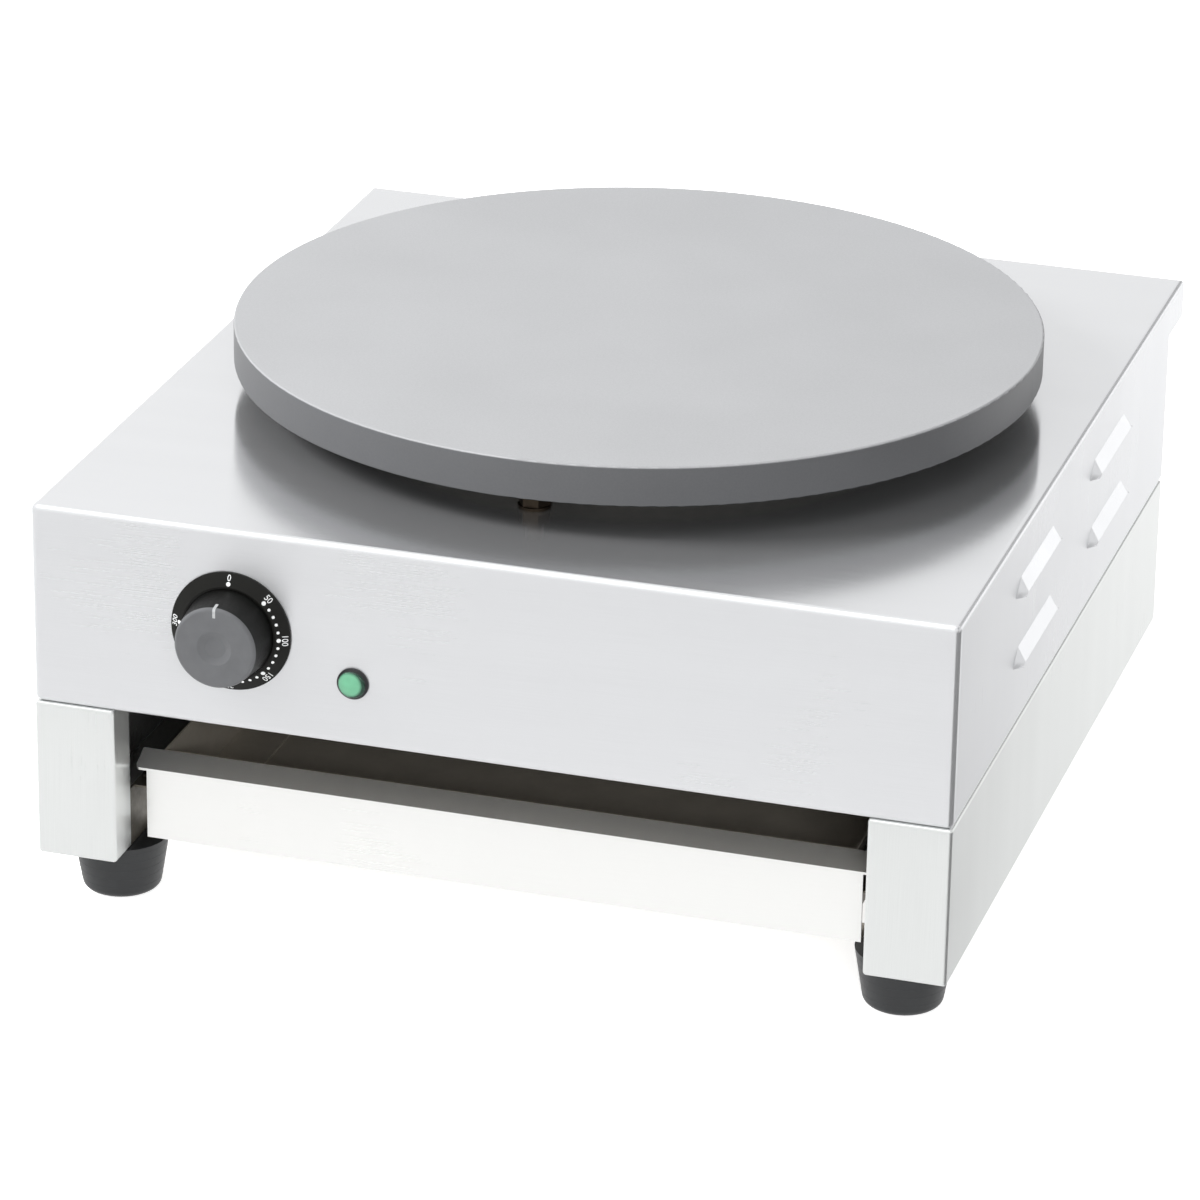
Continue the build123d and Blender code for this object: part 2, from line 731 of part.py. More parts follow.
heating_element_outer.part.label = "heating_element_outer"
export_step(heating_element_outer.part, "parts/heating_element_outer.step")

# ==== Clamp disc, insulation and heater pan below the elements =============================
clamp_top = element_z - element_diameter / 2 - seat_clearance
insulation_top = clamp_top - clamp_thickness
pan_top = insulation_top - insulation_thickness
pan_bottom = pan_top - pan_sheet


def heater_disc(radius, top, thickness):
    """Disc round the plate's axis with the well and the holes of the pan screws."""
    with BuildSketch(Plane.XY.offset(top)) as outline:
        with Locations((0, plate_y)):
            Circle(radius)
            Circle(well_radius, mode=Mode.SUBTRACT)
        with Locations(*pan_screw_spots):
            Circle(pan_screw_thread / 2 + screw_clearance, mode=Mode.SUBTRACT)
    extrude(outline.sketch, amount=-thickness)


with BuildPart() as element_clamp:
    heater_disc(clamp_radius, clamp_top, clamp_thickness)

element_clamp.part.label = "element_clamp"
export_step(element_clamp.part, "parts/element_clamp.step")

with BuildPart() as heater_insulation:
    heater_disc(clamp_radius, insulation_top, insulation_thickness)

heater_insulation.part.label = "heater_insulation"
export_step(heater_insulation.part, "parts/heater_insulation.step")

with BuildPart() as heater_pan:
    heater_disc(pan_radius, pan_top, pan_sheet)
    with BuildSketch(Plane.XY.offset(pan_top)):
        with Locations((0, plate_y)):
            Circle(pan_radius)
            Circle(pan_radius - pan_sheet, mode=Mode.SUBTRACT)
    extrude(amount=plate_z - seat_clearance - pan_top)
    low_edges = heater_pan.edges().filter_by(GeomType.CIRCLE).group_by(Axis.Z)[0]
    fillet(low_edges.sort_by(SortBy.RADIUS)[-1], pan_sheet / 2)

heater_pan.part.label = "heater_pan"
export_step(heater_pan.part, "parts/heater_pan.step")

with BuildPart() as pan_screws:
    for spot in pan_screw_spots:
        screw(at(spot, pan_bottom), at(spot, hole_top), pan_screw_thread)

pan_screws.part.label = "pan_screws"
export_step(pan_screws.part, "parts/pan_screws.step")

# ==== Thermostat bulb, its holder and the capillary ========================================
bulb_y = plate_y - inner_element_radius + bulb_gap
bulb_z = plate_z - seat_clearance - bulb_diameter / 2
bulb_end = bulb_length / 2

with BuildPart() as thermostat_bulb:
    rod((-bulb_end, bulb_y, bulb_z), (bulb_end, bulb_y, bulb_z), bulb_diameter / 2)
    fillet(thermostat_bulb.edges(), bulb_diameter / 6)

thermostat_bulb.part.label = "thermostat_bulb"
export_step(thermostat_bulb.part, "parts/thermostat_bulb.step")

with BuildPart() as bulb_holder:
    block(
        (-holder_length / 2, holder_length / 2),
        (bulb_y - bulb_diameter / 2 - pan_sheet, bulb_y + bulb_diameter / 2 + pan_sheet),
        (clamp_top, bulb_z),
    )
    groove = bulb_diameter / 2 + running_clearance
    rod((-holder_length, bulb_y, bulb_z), (holder_length, bulb_y, bulb_z), groove, Mode.SUBTRACT)

bulb_holder.part.label = "bulb_holder"
export_step(bulb_holder.part, "parts/bulb_holder.step")

thermostat_rear = inside_y + thermostat_depth
capillary_port = (knob_x + thermostat_width / 4, thermostat_rear, knob_z + thermostat_height / 4)
capillary_x = -bulb_end - capillary_gap
capillary_y = plate_y - sqrt((well_radius - capillary_gap) ** 2 - capillary_x**2)
capillary_low = Vector(capillary_x, capillary_y, under_deck - capillary_drop)
capillary_out = Vector(*capillary_port) + Vector(0, capillary_lead, 0)
capillary_run = capillary_out - capillary_low
capillary_route = [
    (-bulb_end, bulb_y, bulb_z),
    (-bulb_end - 2 * capillary_gap, bulb_y, bulb_z),
    (capillary_x, capillary_y, bulb_z),
    capillary_low,
    capillary_low + capillary_run * 0.22 + Vector(0, 0, -capillary_bow / 2),
    capillary_low + capillary_run * 0.5 + Vector(capillary_bow, 0, 0),
    capillary_low + capillary_run * 0.78 + Vector(capillary_bow, 0, capillary_bow / 4),
    capillary_out,
    capillary_port,
]
capillary_radii = easy_bends(capillary_route)
print("capillary bend radii", [round(radius, 1) for radius in capillary_radii])

with BuildPart() as capillary_tube:
    tube(capillary_route, capillary_radii, capillary_diameter)

capillary_tube.part.label = "capillary_tube"
export_step(capillary_tube.part, "parts/capillary_tube.step")

# ==== Thermostat ===========================================================================
with BuildPart() as thermostat_body:
    block(
        (knob_x - thermostat_width / 2, knob_x + thermostat_width / 2),
        (inside_y, thermostat_rear),
        (knob_z - thermostat_height / 2, knob_z + thermostat_height / 2),
    )
    fillet(thermostat_body.edges().filter_by(Axis.Y), thermostat_edge_radius)
    shaft_hole = shaft_diameter / 2 + running_clearance
    rod((knob_x, inside_y, knob_z), (knob_x, inside_y + shaft_in_body, knob_z), shaft_hole, Mode.SUBTRACT)
    for x in thermostat_screw_xs:
        screw_end = inside_y + 2 * thermostat_thread
        rod((x, inside_y, knob_z), (x, screw_end, knob_z), thermostat_thread / 2, Mode.SUBTRACT)
    tab_xs = (knob_x - thermostat_width / 4, knob_x)
    tab_z = knob_z - thermostat_height / 4
    for x in tab_xs:
        block(
            (x - tab_width / 2, x + tab_width / 2),
            (thermostat_rear, thermostat_rear + tab_length),
            (tab_z - tab_thickness / 2, tab_z + tab_thickness / 2),
        )

thermostat_body.part.label = "thermostat_body"
export_step(thermostat_body.part, "parts/thermostat_body.step")

with BuildPart() as dial_bezel:
    seat_radius = knob_base_diameter / 2 + knob_running_gap
    dial_outline = [
        (dial_bore / 2, 0),
        (dial_diameter / 2, 0),
        (dial_diameter / 2, -dial_edge),
        (seat_radius + dial_ring, -dial_height),
        (seat_radius, -dial_height),
        (seat_radius, -dial_floor),
        (dial_bore / 2, -dial_floor),
    ]
    turned((knob_x, front_y, knob_z), (0, 1, 0), dial_outline)
    head_height = head_height_ratio * thermostat_thread
    head_hole = head_ratio * thermostat_thread / 2 + screw_clearance
    for x in thermostat_screw_xs:
        face_y = front_y - dial_floor
        rod((x, front_y, knob_z), (x, face_y, knob_z), thermostat_hole, Mode.SUBTRACT)
        rod((x, face_y + head_height, knob_z), (x, face_y, knob_z), head_hole, Mode.SUBTRACT)

dial_bezel.part.label = "dial_bezel"
export_step(dial_bezel.part, "parts/dial_bezel.step")

with BuildPart() as thermostat_screws:
    for x in thermostat_screw_xs:
        seat_y = front_y - dial_floor + head_height
        screw((x, seat_y, knob_z), (x, inside_y + 1.5 * thermostat_thread, knob_z), thermostat_thread)

thermostat_screws.part.label = "thermostat_screws"
export_step(thermostat_screws.part, "parts/thermostat_screws.step")

# ==== Knob: grip, pointer, shaft and spring, which turn together ===========================
knob_back = dial_floor + knob_running_gap
hub_front = knob_front - 2 * knob_wall
shaft_tip_y = front_y - hub_front
flat_z = knob_z + shaft_diameter / 2 - shaft_flat
base_radius = knob_base_diameter / 2
cap_radius = knob_cap_diameter / 2
thumb_radius = thumb_recess_diameter / 2

with BuildPart() as grip_solid:
    grip_outline = [(0, -knob_back), (base_radius, -knob_back), (cap_radius, -knob_front), (0, -knob_front)]
    turned((knob_x, front_y, knob_z), (0, 1, 0), grip_outline)
    cap_rim = grip_solid.edges().filter_by(GeomType.CIRCLE).sort_by(Axis.Y)[0]
    fillet(cap_rim, knob_edge_radius)

with BuildPart() as knob_pointer:
    half_pointer = pointer_width / 2
    pointer_xs = (knob_x - half_pointer, knob_x + half_pointer)
    cap_y = front_y - knob_front
    pointer_top = knob_z + base_radius
    on_cap = knob_z + cap_radius - knob_edge_radius - pointer_on_cap
    on_side = knob_z + cap_radius - pointer_depth
    block(pointer_xs, (cap_y, cap_y + pointer_depth), (on_cap, pointer_top))
    block(pointer_xs, (cap_y, cap_y + knob_edge_radius), (on_side - knob_edge_radius, pointer_top))
    block(pointer_xs, (cap_y, cap_y + pointer_on_side), (on_side, pointer_top))
    add(grip_solid.part, mode=Mode.INTERSECT)

knob_pointer.part.label = "knob_pointer"
export_step(knob_pointer.part, "parts/knob_pointer.step")

with BuildPart() as knob_grip:
    add(grip_solid.part)
    inner_base = base_radius - knob_wall
    inner_cap = cap_radius - knob_wall
    hub_radius = hub_diameter / 2
    hollow_outline = [
        (hub_radius, -knob_back),
        (inner_base, -knob_back),
        (inner_cap, knob_wall - knob_front),
        (hub_radius, knob_wall - knob_front),
    ]
    thumb_outline = [
        (0, -knob_front),
        (thumb_radius, -knob_front),
        (0.6 * thumb_radius, thumb_recess_depth - knob_front),
        (0, thumb_recess_depth - knob_front),
    ]
    turned((knob_x, front_y, knob_z), (0, 1, 0), hollow_outline, Mode.SUBTRACT)
    turned((knob_x, front_y, knob_z), (0, 1, 0), thumb_outline, Mode.SUBTRACT)
    # Round bore for the flatted shaft; the spring fills the space above its flat
    bore = shaft_diameter / 2 + running_clearance
    bore_end_y = shaft_tip_y - running_clearance
    rod((knob_x, front_y - knob_back, knob_z), (knob_x, bore_end_y, knob_z), bore, Mode.SUBTRACT)
    add(knob_pointer.part, mode=Mode.SUBTRACT)

knob_grip.part.label = "knob_grip"
export_step(knob_grip.part, "parts/knob_grip.step")

with BuildPart() as thermostat_shaft:
    shaft_end_y = inside_y + shaft_in_body - running_clearance
    rod((knob_x, shaft_end_y, knob_z), (knob_x, shaft_tip_y, knob_z), shaft_diameter / 2)
    shaft_xs = (knob_x - shaft_diameter, knob_x + shaft_diameter)
    block(shaft_xs, (shaft_tip_y, front_y - knob_back), (flat_z, knob_z + shaft_diameter), Mode.SUBTRACT)

thermostat_shaft.part.label = "thermostat_shaft"
export_step(thermostat_shaft.part, "parts/thermostat_shaft.step")

with BuildPart() as knob_spring:
    spring_half = shaft_diameter / 4
    spring_ys = (shaft_tip_y + 1, front_y - knob_back - 1)
    block((knob_x - spring_half, knob_x + spring_half), spring_ys, (flat_z, flat_z + spring_thickness))

knob_spring.part.label = "knob_spring"
export_step(knob_spring.part, "parts/knob_spring.step")

# ==== Pilot lamp ===========================================================================
barrel_radius = lamp_barrel_diameter / 2
lens_radius = barrel_radius - lamp_wall - running_clearance

with BuildPart() as lamp_body:
    lamp_outline = [
        (0, lamp_length),
        (barrel_radius, lamp_length),
        (barrel_radius, 0),
        (lamp_bezel_diameter / 2, 0),
        (lamp_bezel_diameter / 2, -lamp_bezel_height / 2),
        (barrel_radius, -lamp_bezel_height),
        (barrel_radius - lamp_wall, -lamp_bezel_height),
        (barrel_radius - lamp_wall, 2 * lamp_bezel_height),
        (0, 2 * lamp_bezel_height),
    ]
    turned((lamp_x, front_y, lamp_z), (0, 1, 0), lamp_outline)
    for x in (lamp_x - barrel_radius / 2, lamp_x + barrel_radius / 2):
        block(
            (x - tab_thickness / 2, x + tab_thickness / 2),
            (front_y + lamp_length, front_y + lamp_length + tab_length),
            (lamp_z - tab_width / 2, lamp_z + tab_width / 2),
        )

lamp_body.part.label = "lamp_body"
export_step(lamp_body.part, "parts/lamp_body.step")

with BuildPart() as lamp_lens:
    lens_back = 2 * lamp_bezel_height - running_clearance
    with BuildSketch(Plane(origin=(lamp_x, front_y, lamp_z), x_dir=(1, 0, 0), z_dir=(0, 0, 1))):
        with BuildLine():
            Line((0, lens_back), (lens_radius, lens_back))
            Line((lens_radius, lens_back), (lens_radius, -lamp_bezel_height))
            shoulder = (lens_radius, -lamp_bezel_height)
            crown = (0, -lamp_lens_height)
            TangentArc(crown, shoulder, tangent=(1, 0))
            Line(crown, (0, lens_back))
        make_face()
    revolve(axis=Axis((lamp_x, front_y, lamp_z), (0, 1, 0)))

lamp_lens.part.label = "lamp_lens"
export_step(lamp_lens.part, "parts/lamp_lens.step")

with BuildPart() as lamp_nut:
    lamp_nut_seat = (lamp_x, inside_y, lamp_z)
    hexagon(lamp_nut_seat, (0, 1, 0), lamp_nut_flats, lamp_barrel_diameter, lamp_nut_height)

lamp_nut.part.label = "lamp_nut"
export_step(lamp_nut.part, "parts/lamp_nut.step")

# ==== Cable gland and bonding terminal on the rear panel ===================================
gland_radius = gland_thread / 2
bore_radius = gland_bore / 2
back_y = rear_y + hood_sheet

with BuildPart() as cable_gland:
    gland_outline = [
        (bore_radius, -gland_thread_length),
        (gland_radius, -gland_thread_length),
        (gland_radius, hood_sheet),
        (gland_flats / 2, hood_sheet),
        (gland_flats / 2, 0.6 * gland_length),
        (gland_radius, gland_length),
        (bore_radius, gland_length),
    ]
    turned((gland_x, rear_y, gland_z), (0, 1, 0), gland_outline)
    hexagon((gland_x, back_y, gland_z), (0, 1, 0), gland_flats, gland_thread, gland_nut_height)

cable_gland.part.label = "cable_gland"
export_step(cable_gland.part, "parts/cable_gland.step")

with BuildPart() as gland_locknut:
    hexagon((gland_x, rear_y, gland_z), (0, -1, 0), gland_flats, gland_thread, gland_nut_height)

gland_locknut.part.label = "gland_locknut"
export_step(gland_locknut.part, "parts/gland_locknut.step")

bonding_nut_height = nut_height_ratio * bonding_thread
with BuildPart() as bonding_stud:
    head_seat = (bonding_x, rear_y, gland_z)
    screw(head_seat, (bonding_x, rear_y + bonding_length, gland_z), bonding_thread)

bonding_stud.part.label = "bonding_stud"
export_step(bonding_stud.part, "parts/bonding_stud.step")

with BuildPart() as bonding_nut:
    nut((bonding_x, back_y, gland_z), (0, 1, 0), bonding_thread)

bonding_nut.part.label = "bonding_nut"
export_step(bonding_nut.part, "parts/bonding_nut.step")

# ==== Terminal block and thermal cut-out ===================================================
terminal_y = rear_y - terminal_from_rear
pole_pitch = terminal_width / 3

with BuildPart() as terminal_block:
    block(
        (gland_x - terminal_width / 2, gland_x + terminal_width / 2),
        (terminal_y - terminal_depth / 2, terminal_y + terminal_depth / 2),
        (belly_top, belly_top + terminal_height),
    )
    chamfer(terminal_block.faces().sort_by(Axis.Z)[-1].edges(), 1.0)
    for pole in (-1, 0, 1):
        x = gland_x + pole * pole_pitch
        entry_z = belly_top + terminal_height / 2
        rod(
            (x, terminal_y - terminal_depth, entry_z),
            (x, terminal_y + terminal_depth, entry_z),
            terminal_bore / 2,
            Mode.SUBTRACT,
        )

terminal_block.part.label = "terminal_block"
export_step(terminal_block.part, "parts/terminal_block.step")

with BuildPart() as thermal_cutout:
    cutout_x = collar_radius + cutout_gap
    cutout_top = (cutout_x, plate_y, under_deck)
    cutout_low = (cutout_x, plate_y, under_deck - cutout_height)
    rod(cutout_top, cutout_low, cutout_diameter / 2)
    block(
        (cutout_x - cutout_diameter, cutout_x + cutout_diameter),
        (plate_y - cutout_diameter / 3, plate_y + cutout_diameter / 3),
        (under_deck - clamp_thickness, under_deck),
    )

thermal_cutout.part.label = "thermal_cutout"
export_step(thermal_cutout.part, "parts/thermal_cutout.step")

# ==== Drawer ===============================================================================
rim_z = seam_z - grip_gap
floor_top = rim_z - drawer_height
floor_low = floor_top - drawer_sheet
tray_x = ledge_x - rail_clearance - front_sheet
lip_front_y = drawer_face_y - grip_overhang
tray_front_y = lip_front_y + grip_depth
tray_rear_y = rear_y - slide_clearance
lip_low_z = rim_z - grip_drop

with BuildPart() as drawer_tray:
    block((-tray_x, tray_x), (tray_front_y, tray_rear_y), (floor_low, floor_top))
    wall_x = tray_x - drawer_sheet
    block((-wall_x, wall_x), (tray_front_y, tray_front_y + drawer_sheet), (floor_top, rim_z))
    block((-wall_x, wall_x), (tray_rear_y - drawer_sheet, tray_rear_y), (floor_top, rim_z))

drawer_tray.part.label = "drawer_tray"
export_step(drawer_tray.part, "parts/drawer_tray.step")

with BuildPart() as right_drawer_side:
    inner_ys = (tray_front_y + drawer_sheet, tray_rear_y - drawer_sheet)
    block((wall_x, tray_x), (tray_front_y, tray_rear_y), (floor_top, rim_z))
    block((wall_x - side_foot, wall_x), inner_ys, (floor_top, floor_top + drawer_sheet))

with BuildPart() as drawer_side_right:
    add(right_drawer_side.part)

drawer_side_right.part.label = "drawer_side_right"
export_step(drawer_side_right.part, "parts/drawer_side_right.step")

with BuildPart() as drawer_side_left:
    mirror(right_drawer_side.part, about=Plane.YZ)

drawer_side_left.part.label = "drawer_side_left"
export_step(drawer_side_left.part, "parts/drawer_side_left.step")

rail_low = ledge_z + slide_clearance
rail_x = post_x - rail_outer_gap
ear_y = front_y + return_depth + drawer_travel + slide_clearance

with BuildPart() as right_rail:
    rail_ys = (tray_front_y + drawer_sheet, tray_rear_y - drawer_sheet)
    block((tray_x, tray_x + front_sheet), rail_ys, (rail_low, rail_low + rail_height))
    block((tray_x + front_sheet, rail_x), rail_ys, (rail_low, rail_low + front_sheet))
    block((rail_x, post_x + ear_reach), (ear_y, ear_y + ear_length), (rail_low, rail_low + front_sheet))

with BuildPart() as drawer_rail_right:
    add(right_rail.part)

drawer_rail_right.part.label = "drawer_rail_right"
export_step(drawer_rail_right.part, "parts/drawer_rail_right.step")

with BuildPart() as drawer_rail_left:
    mirror(right_rail.part, about=Plane.YZ)

drawer_rail_left.part.label = "drawer_rail_left"
export_step(drawer_rail_left.part, "parts/drawer_rail_left.step")

# The front is one sheet: a box section under the tray, the face, and the sloping grip lip
face_top = lip_low_z - front_sheet
face_low = face_top - face_height
face_x = tray_x + face_margin
lip_x = post_x - grip_clearance
side_plane = Plane(origin=(0, 0, 0), x_dir=(0, 1, 0), z_dir=(1, 0, 0))

with BuildPart() as drawer_front:
    with BuildSketch(side_plane):
        Polygon(
            (lip_front_y, lip_low_z),
            (tray_front_y, rim_z),
            (tray_front_y, rim_z - front_sheet),
            (drawer_face_y + front_sheet, face_top),
            (lip_front_y, face_top),
            align=None,
        )
    extrude(amount=lip_x, both=True)
    grip_ends = drawer_front.edges().filter_by(Axis.Z).group_by(Axis.Y)[0]
    fillet(grip_ends, grip_corner_radius)
    block((-face_x, face_x), (drawer_face_y, drawer_face_y + front_sheet), (face_low, face_top))
    box_rear_y = drawer_face_y + stiffener_depth
    block((-face_x, face_x), (drawer_face_y, box_rear_y), (face_low, face_low + front_sheet))
    riser_x = tray_x
    block((-riser_x, riser_x), (box_rear_y - front_sheet, box_rear_y), (face_low, floor_low))

drawer_front.part.label = "drawer_front"
export_step(drawer_front.part, "parts/drawer_front.step")
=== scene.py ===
import math

import bmesh
import bpy
from mathutils import Matrix, Vector


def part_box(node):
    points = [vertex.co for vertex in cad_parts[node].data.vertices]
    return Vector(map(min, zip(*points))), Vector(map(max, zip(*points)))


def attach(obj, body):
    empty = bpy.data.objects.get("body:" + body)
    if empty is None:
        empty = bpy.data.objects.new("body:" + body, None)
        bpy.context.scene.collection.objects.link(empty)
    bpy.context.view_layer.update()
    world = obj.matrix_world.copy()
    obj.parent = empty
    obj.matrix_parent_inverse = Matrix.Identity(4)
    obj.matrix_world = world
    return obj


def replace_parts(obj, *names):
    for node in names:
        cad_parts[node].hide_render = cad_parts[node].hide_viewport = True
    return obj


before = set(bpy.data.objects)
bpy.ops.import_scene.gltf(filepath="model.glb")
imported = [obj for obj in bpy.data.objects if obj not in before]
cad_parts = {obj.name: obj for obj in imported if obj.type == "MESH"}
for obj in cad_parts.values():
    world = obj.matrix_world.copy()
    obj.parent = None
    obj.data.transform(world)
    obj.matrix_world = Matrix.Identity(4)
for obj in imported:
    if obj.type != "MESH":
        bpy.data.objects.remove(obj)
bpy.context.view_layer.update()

bl_info = {
    "name": "Electric crepe maker",
    "version": (1, 0, 0),
    "blender": (4, 5, 0),
    "location": "3D View > Sidebar > Crepe maker",
    "description": "Finishes, dial markings, lamp, threads, feet and studio of an electric crepe maker",
    "category": "Add Mesh",
}

MM = 0.001
SAME_POINT = 0.001 * MM
SHARP_EDGE = math.radians(35)
# The wave texture repeats every pi / 10 at a scale of 1
WAVE_PERIOD = math.pi / 10
INPUT_KINDS = {int: "Int", float: "Float", tuple: "Vector"}


# ---- Small tools


def linear(hex_colour):
    """Linear RGBA of an sRGB colour written #RRGGBB."""
    channels = [int(hex_colour[i : i + 2], 16) / 255 for i in (1, 3, 5)]
    bent = [c / 12.92 if c <= 0.04045 else ((c + 0.055) / 1.055) ** 2.4 for c in channels]
    return (*bent, 1.0)


def socket(sockets, key):
    """Socket of a number, or the one in use with a name."""
    return sockets[key] if isinstance(key, int) else next(s for s in sockets if s.name == key and s.enabled)


def add(tree, kind, inputs=(), **settings):
    """Add a node; an input takes a value, an output, or a node for its first output in use."""
    node = tree.nodes.new(kind)
    for name, value in settings.items():
        setattr(node, name, value)
    for key, value in dict(inputs).items():
        if isinstance(value, bpy.types.Node):
            value = next(output for output in value.outputs if output.enabled)
        if isinstance(value, bpy.types.NodeSocket):
            tree.links.new(value, socket(node.inputs, key))
        else:
            socket(node.inputs, key).default_value = value
    return node


def new_material(name):
    """Empty material, its tree, and a point on the piece in metres."""
    material = bpy.data.materials.new(name)
    material.use_nodes = True
    tree = material.node_tree
    tree.nodes.clear()
    return material, tree, add(tree, "ShaderNodeTexCoord").outputs["Object"]


def speckle(tree, point, size, low, high, detail=3.0):
    """Noise with grains of a size in metres, between two values."""
    noise = add(tree, "ShaderNodeTexNoise", {"Vector": point, "Scale": 1 / size, "Detail": detail})
    spread = {"Value": noise, "From Min": 0.3, "From Max": 0.7, "To Min": low, "To Max": high}
    return add(tree, "ShaderNodeMapRange", spread)


def fade(tree, vector, axis, start, end, low=0.0, high=1.0):
    """Value that changes from low to high between two places along an axis."""
    place = add(tree, "ShaderNodeSeparateXYZ", {"Vector": vector}).outputs[axis]
    span = {"Value": place, "From Min": start, "From Max": end, "To Min": low, "To Max": high}
    return add(tree, "ShaderNodeMapRange", span)


def patch(tree, direction, aim, cosines, level, outside=1.0):
    """Level of a round patch about an aim, which fades in from its outside between two cosines."""
    near = add(tree, "ShaderNodeVectorMath", {0: direction, 1: aim}, operation="DOT_PRODUCT")
    start, end = cosines
    span = {"Value": near, "From Min": start, "From Max": end, "To Min": outside, "To Max": level}
    return add(tree, "ShaderNodeMapRange", span)


def turned_rings(tree, point, middle, pitch, axis, distortion, detail=2.0):
    """Wave of a pitch in metres that rings an axis through a middle, as a lathe leaves it."""
    local = add(tree, "ShaderNodeVectorMath", {0: point, 1: middle}, operation="SUBTRACT")
    wave = {"Vector": local, "Scale": WAVE_PERIOD / pitch, "Distortion": distortion, "Detail": detail}
    return add(tree, "ShaderNodeTexWave", wave, wave_type="RINGS", rings_direction=axis).outputs["Fac"]


def surface(tree, colour, shade, height=None, depth=0.0, strength=1.0, **inputs):
    """Principled surface: a colour times a varying grey, and relief of height times depth in metres."""
    base = colour if isinstance(colour, bpy.types.Node) else colour[:3]
    values = {name.replace("_", " "): value for name, value in inputs.items()}
    values["Base Color"] = add(tree, "ShaderNodeVectorMath", {0: base, 3: shade}, operation="SCALE")
    if height is not None:
        relief = {"Height": height, "Distance": depth, "Strength": strength}
        values["Normal"] = add(tree, "ShaderNodeBump", relief)
    shader = add(tree, "ShaderNodeBsdfPrincipled", values)
    add(tree, "ShaderNodeOutputMaterial", {"Surface": shader})


def dress(material, *nodes):
    """Give carried-over sheet and solid parts their finish."""
    for name in nodes:
        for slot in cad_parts[name].material_slots:
            slot.material = material


def finish_of(node):
    """Finish that a carried-over part wears."""
    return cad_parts[node].material_slots[0].material


def centre(node):
    """Middle of a part's box."""
    low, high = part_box(node)
    return (low + high) / 2


def solids_of(node):
    """Box of each separate solid of a carried-over part."""
    shape = bmesh.new()
    shape.from_mesh(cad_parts[node].data)
    bmesh.ops.remove_doubles(shape, verts=shape.verts, dist=SAME_POINT)
    left, boxes = set(shape.verts), []
    while left:
        reached = {left.pop()}
        front = list(reached)
        while front:
            near = {edge.other_vert(vertex) for vertex in front for edge in vertex.link_edges}
            front = [vertex for vertex in near if vertex not in reached]
            reached.update(front)
        left -= reached
        places = [vertex.co for vertex in reached]
        boxes.append(tuple(Vector(pick(p[i] for p in places) for i in range(3)) for pick in (min, max)))
    shape.free()
    return sorted(boxes, key=lambda box: tuple(box[0]))


def piece_from(name, shape, material):
    """Object from a finished bmesh, smooth but for its sharp edges."""
    mesh = bpy.data.meshes.new(name)
    shape.to_mesh(mesh)
    shape.free()
    mesh.materials.append(material)
    mesh.shade_smooth()
    mesh.set_sharp_from_angle(angle=SHARP_EDGE)
    piece = bpy.data.objects.new(name, mesh)
    bpy.context.scene.collection.objects.link(piece)
    return piece


def lathe(name, axis_at, profile, material, steps=64):
    """Closed piece turned round an axis along Y; profile gives radius and Y, the ends on the axis."""
    shape = bmesh.new()
    rings = []
    for radius, y in profile:
        if radius < SAME_POINT:
            rings.append([shape.verts.new((axis_at.x, y, axis_at.z))])
            continue
        turns = [2 * math.pi * i / steps for i in range(steps)]
        ring = [(axis_at.x + radius * math.cos(t), y, axis_at.z + radius * math.sin(t)) for t in turns]
        rings.append([shape.verts.new(p) for p in ring])
    for before, after in zip(rings, rings[1:]):
        for i in range(steps):
            j = (i + 1) % steps
            corners = [before[i % len(before)], before[j % len(before)]]
            corners += [after[j % len(after)], after[i % len(after)]]
            shape.faces.new(list(dict.fromkeys(corners)))
    bmesh.ops.recalc_face_normals(shape, faces=shape.faces)
    return piece_from(name, shape, material)


def new_tree(name, values):
    """Geometry tree with a named input for each value, and its input sockets."""
    tree = bpy.data.node_groups.new(name, "GeometryNodeTree")
    kinds = {label: INPUT_KINDS[type(value)] for label, value in values.items()}
    for label, kind in {"Geometry": "Geometry", **kinds, "Material": "Material"}.items():
        tree.interface.new_socket(label, in_out="INPUT", socket_type=f"NodeSocket{kind}")
    tree.interface.new_socket("Geometry", in_out="OUTPUT", socket_type="NodeSocketGeometry")
    return tree, add(tree, "NodeGroupInput").outputs


def on_circle(tree, number, angle, radius, sine_axis, cosine_axis):
    """Points each at its angle on a circle, and their directions from its middle."""
    sine = add(tree, "ShaderNodeMath", {0: angle}, operation="SINE")
    cosine = add(tree, "ShaderNodeMath", {0: angle}, operation="COSINE")
    outward = add(tree, "ShaderNodeCombineXYZ", {sine_axis: sine, cosine_axis: cosine})
    spot = add(tree, "ShaderNodeVectorMath", {0: outward, 3: radius}, operation="SCALE")
    points = add(tree, "GeometryNodePoints", {"Count": number})
    return add(tree, "GeometryNodeSetPosition", {"Geometry": points, "Position": spot}), outward


def end_tree(tree, shape, sizes, aim=(0, 0, 1)):
    """Stand the shape on each spot with its Z axis along aim, make it real and give it its finish."""
    turn = add(tree, "FunctionNodeAlignRotationToVector", {"Vector": aim}, axis="Z")
    copies = {"Points": sizes["Geometry"], "Instance": shape, "Rotation": turn}
    placed = add(tree, "GeometryNodeInstanceOnPoints", copies)
    real = add(tree, "GeometryNodeRealizeInstances", {"Geometry": placed})
    smooth = add(tree, "GeometryNodeSetShadeSmooth", {"Geometry": real})
    painted = add(tree, "GeometryNodeSetMaterial", {"Geometry": smooth, "Material": sizes["Material"]})
    add(tree, "NodeGroupOutput", {"Geometry": painted})


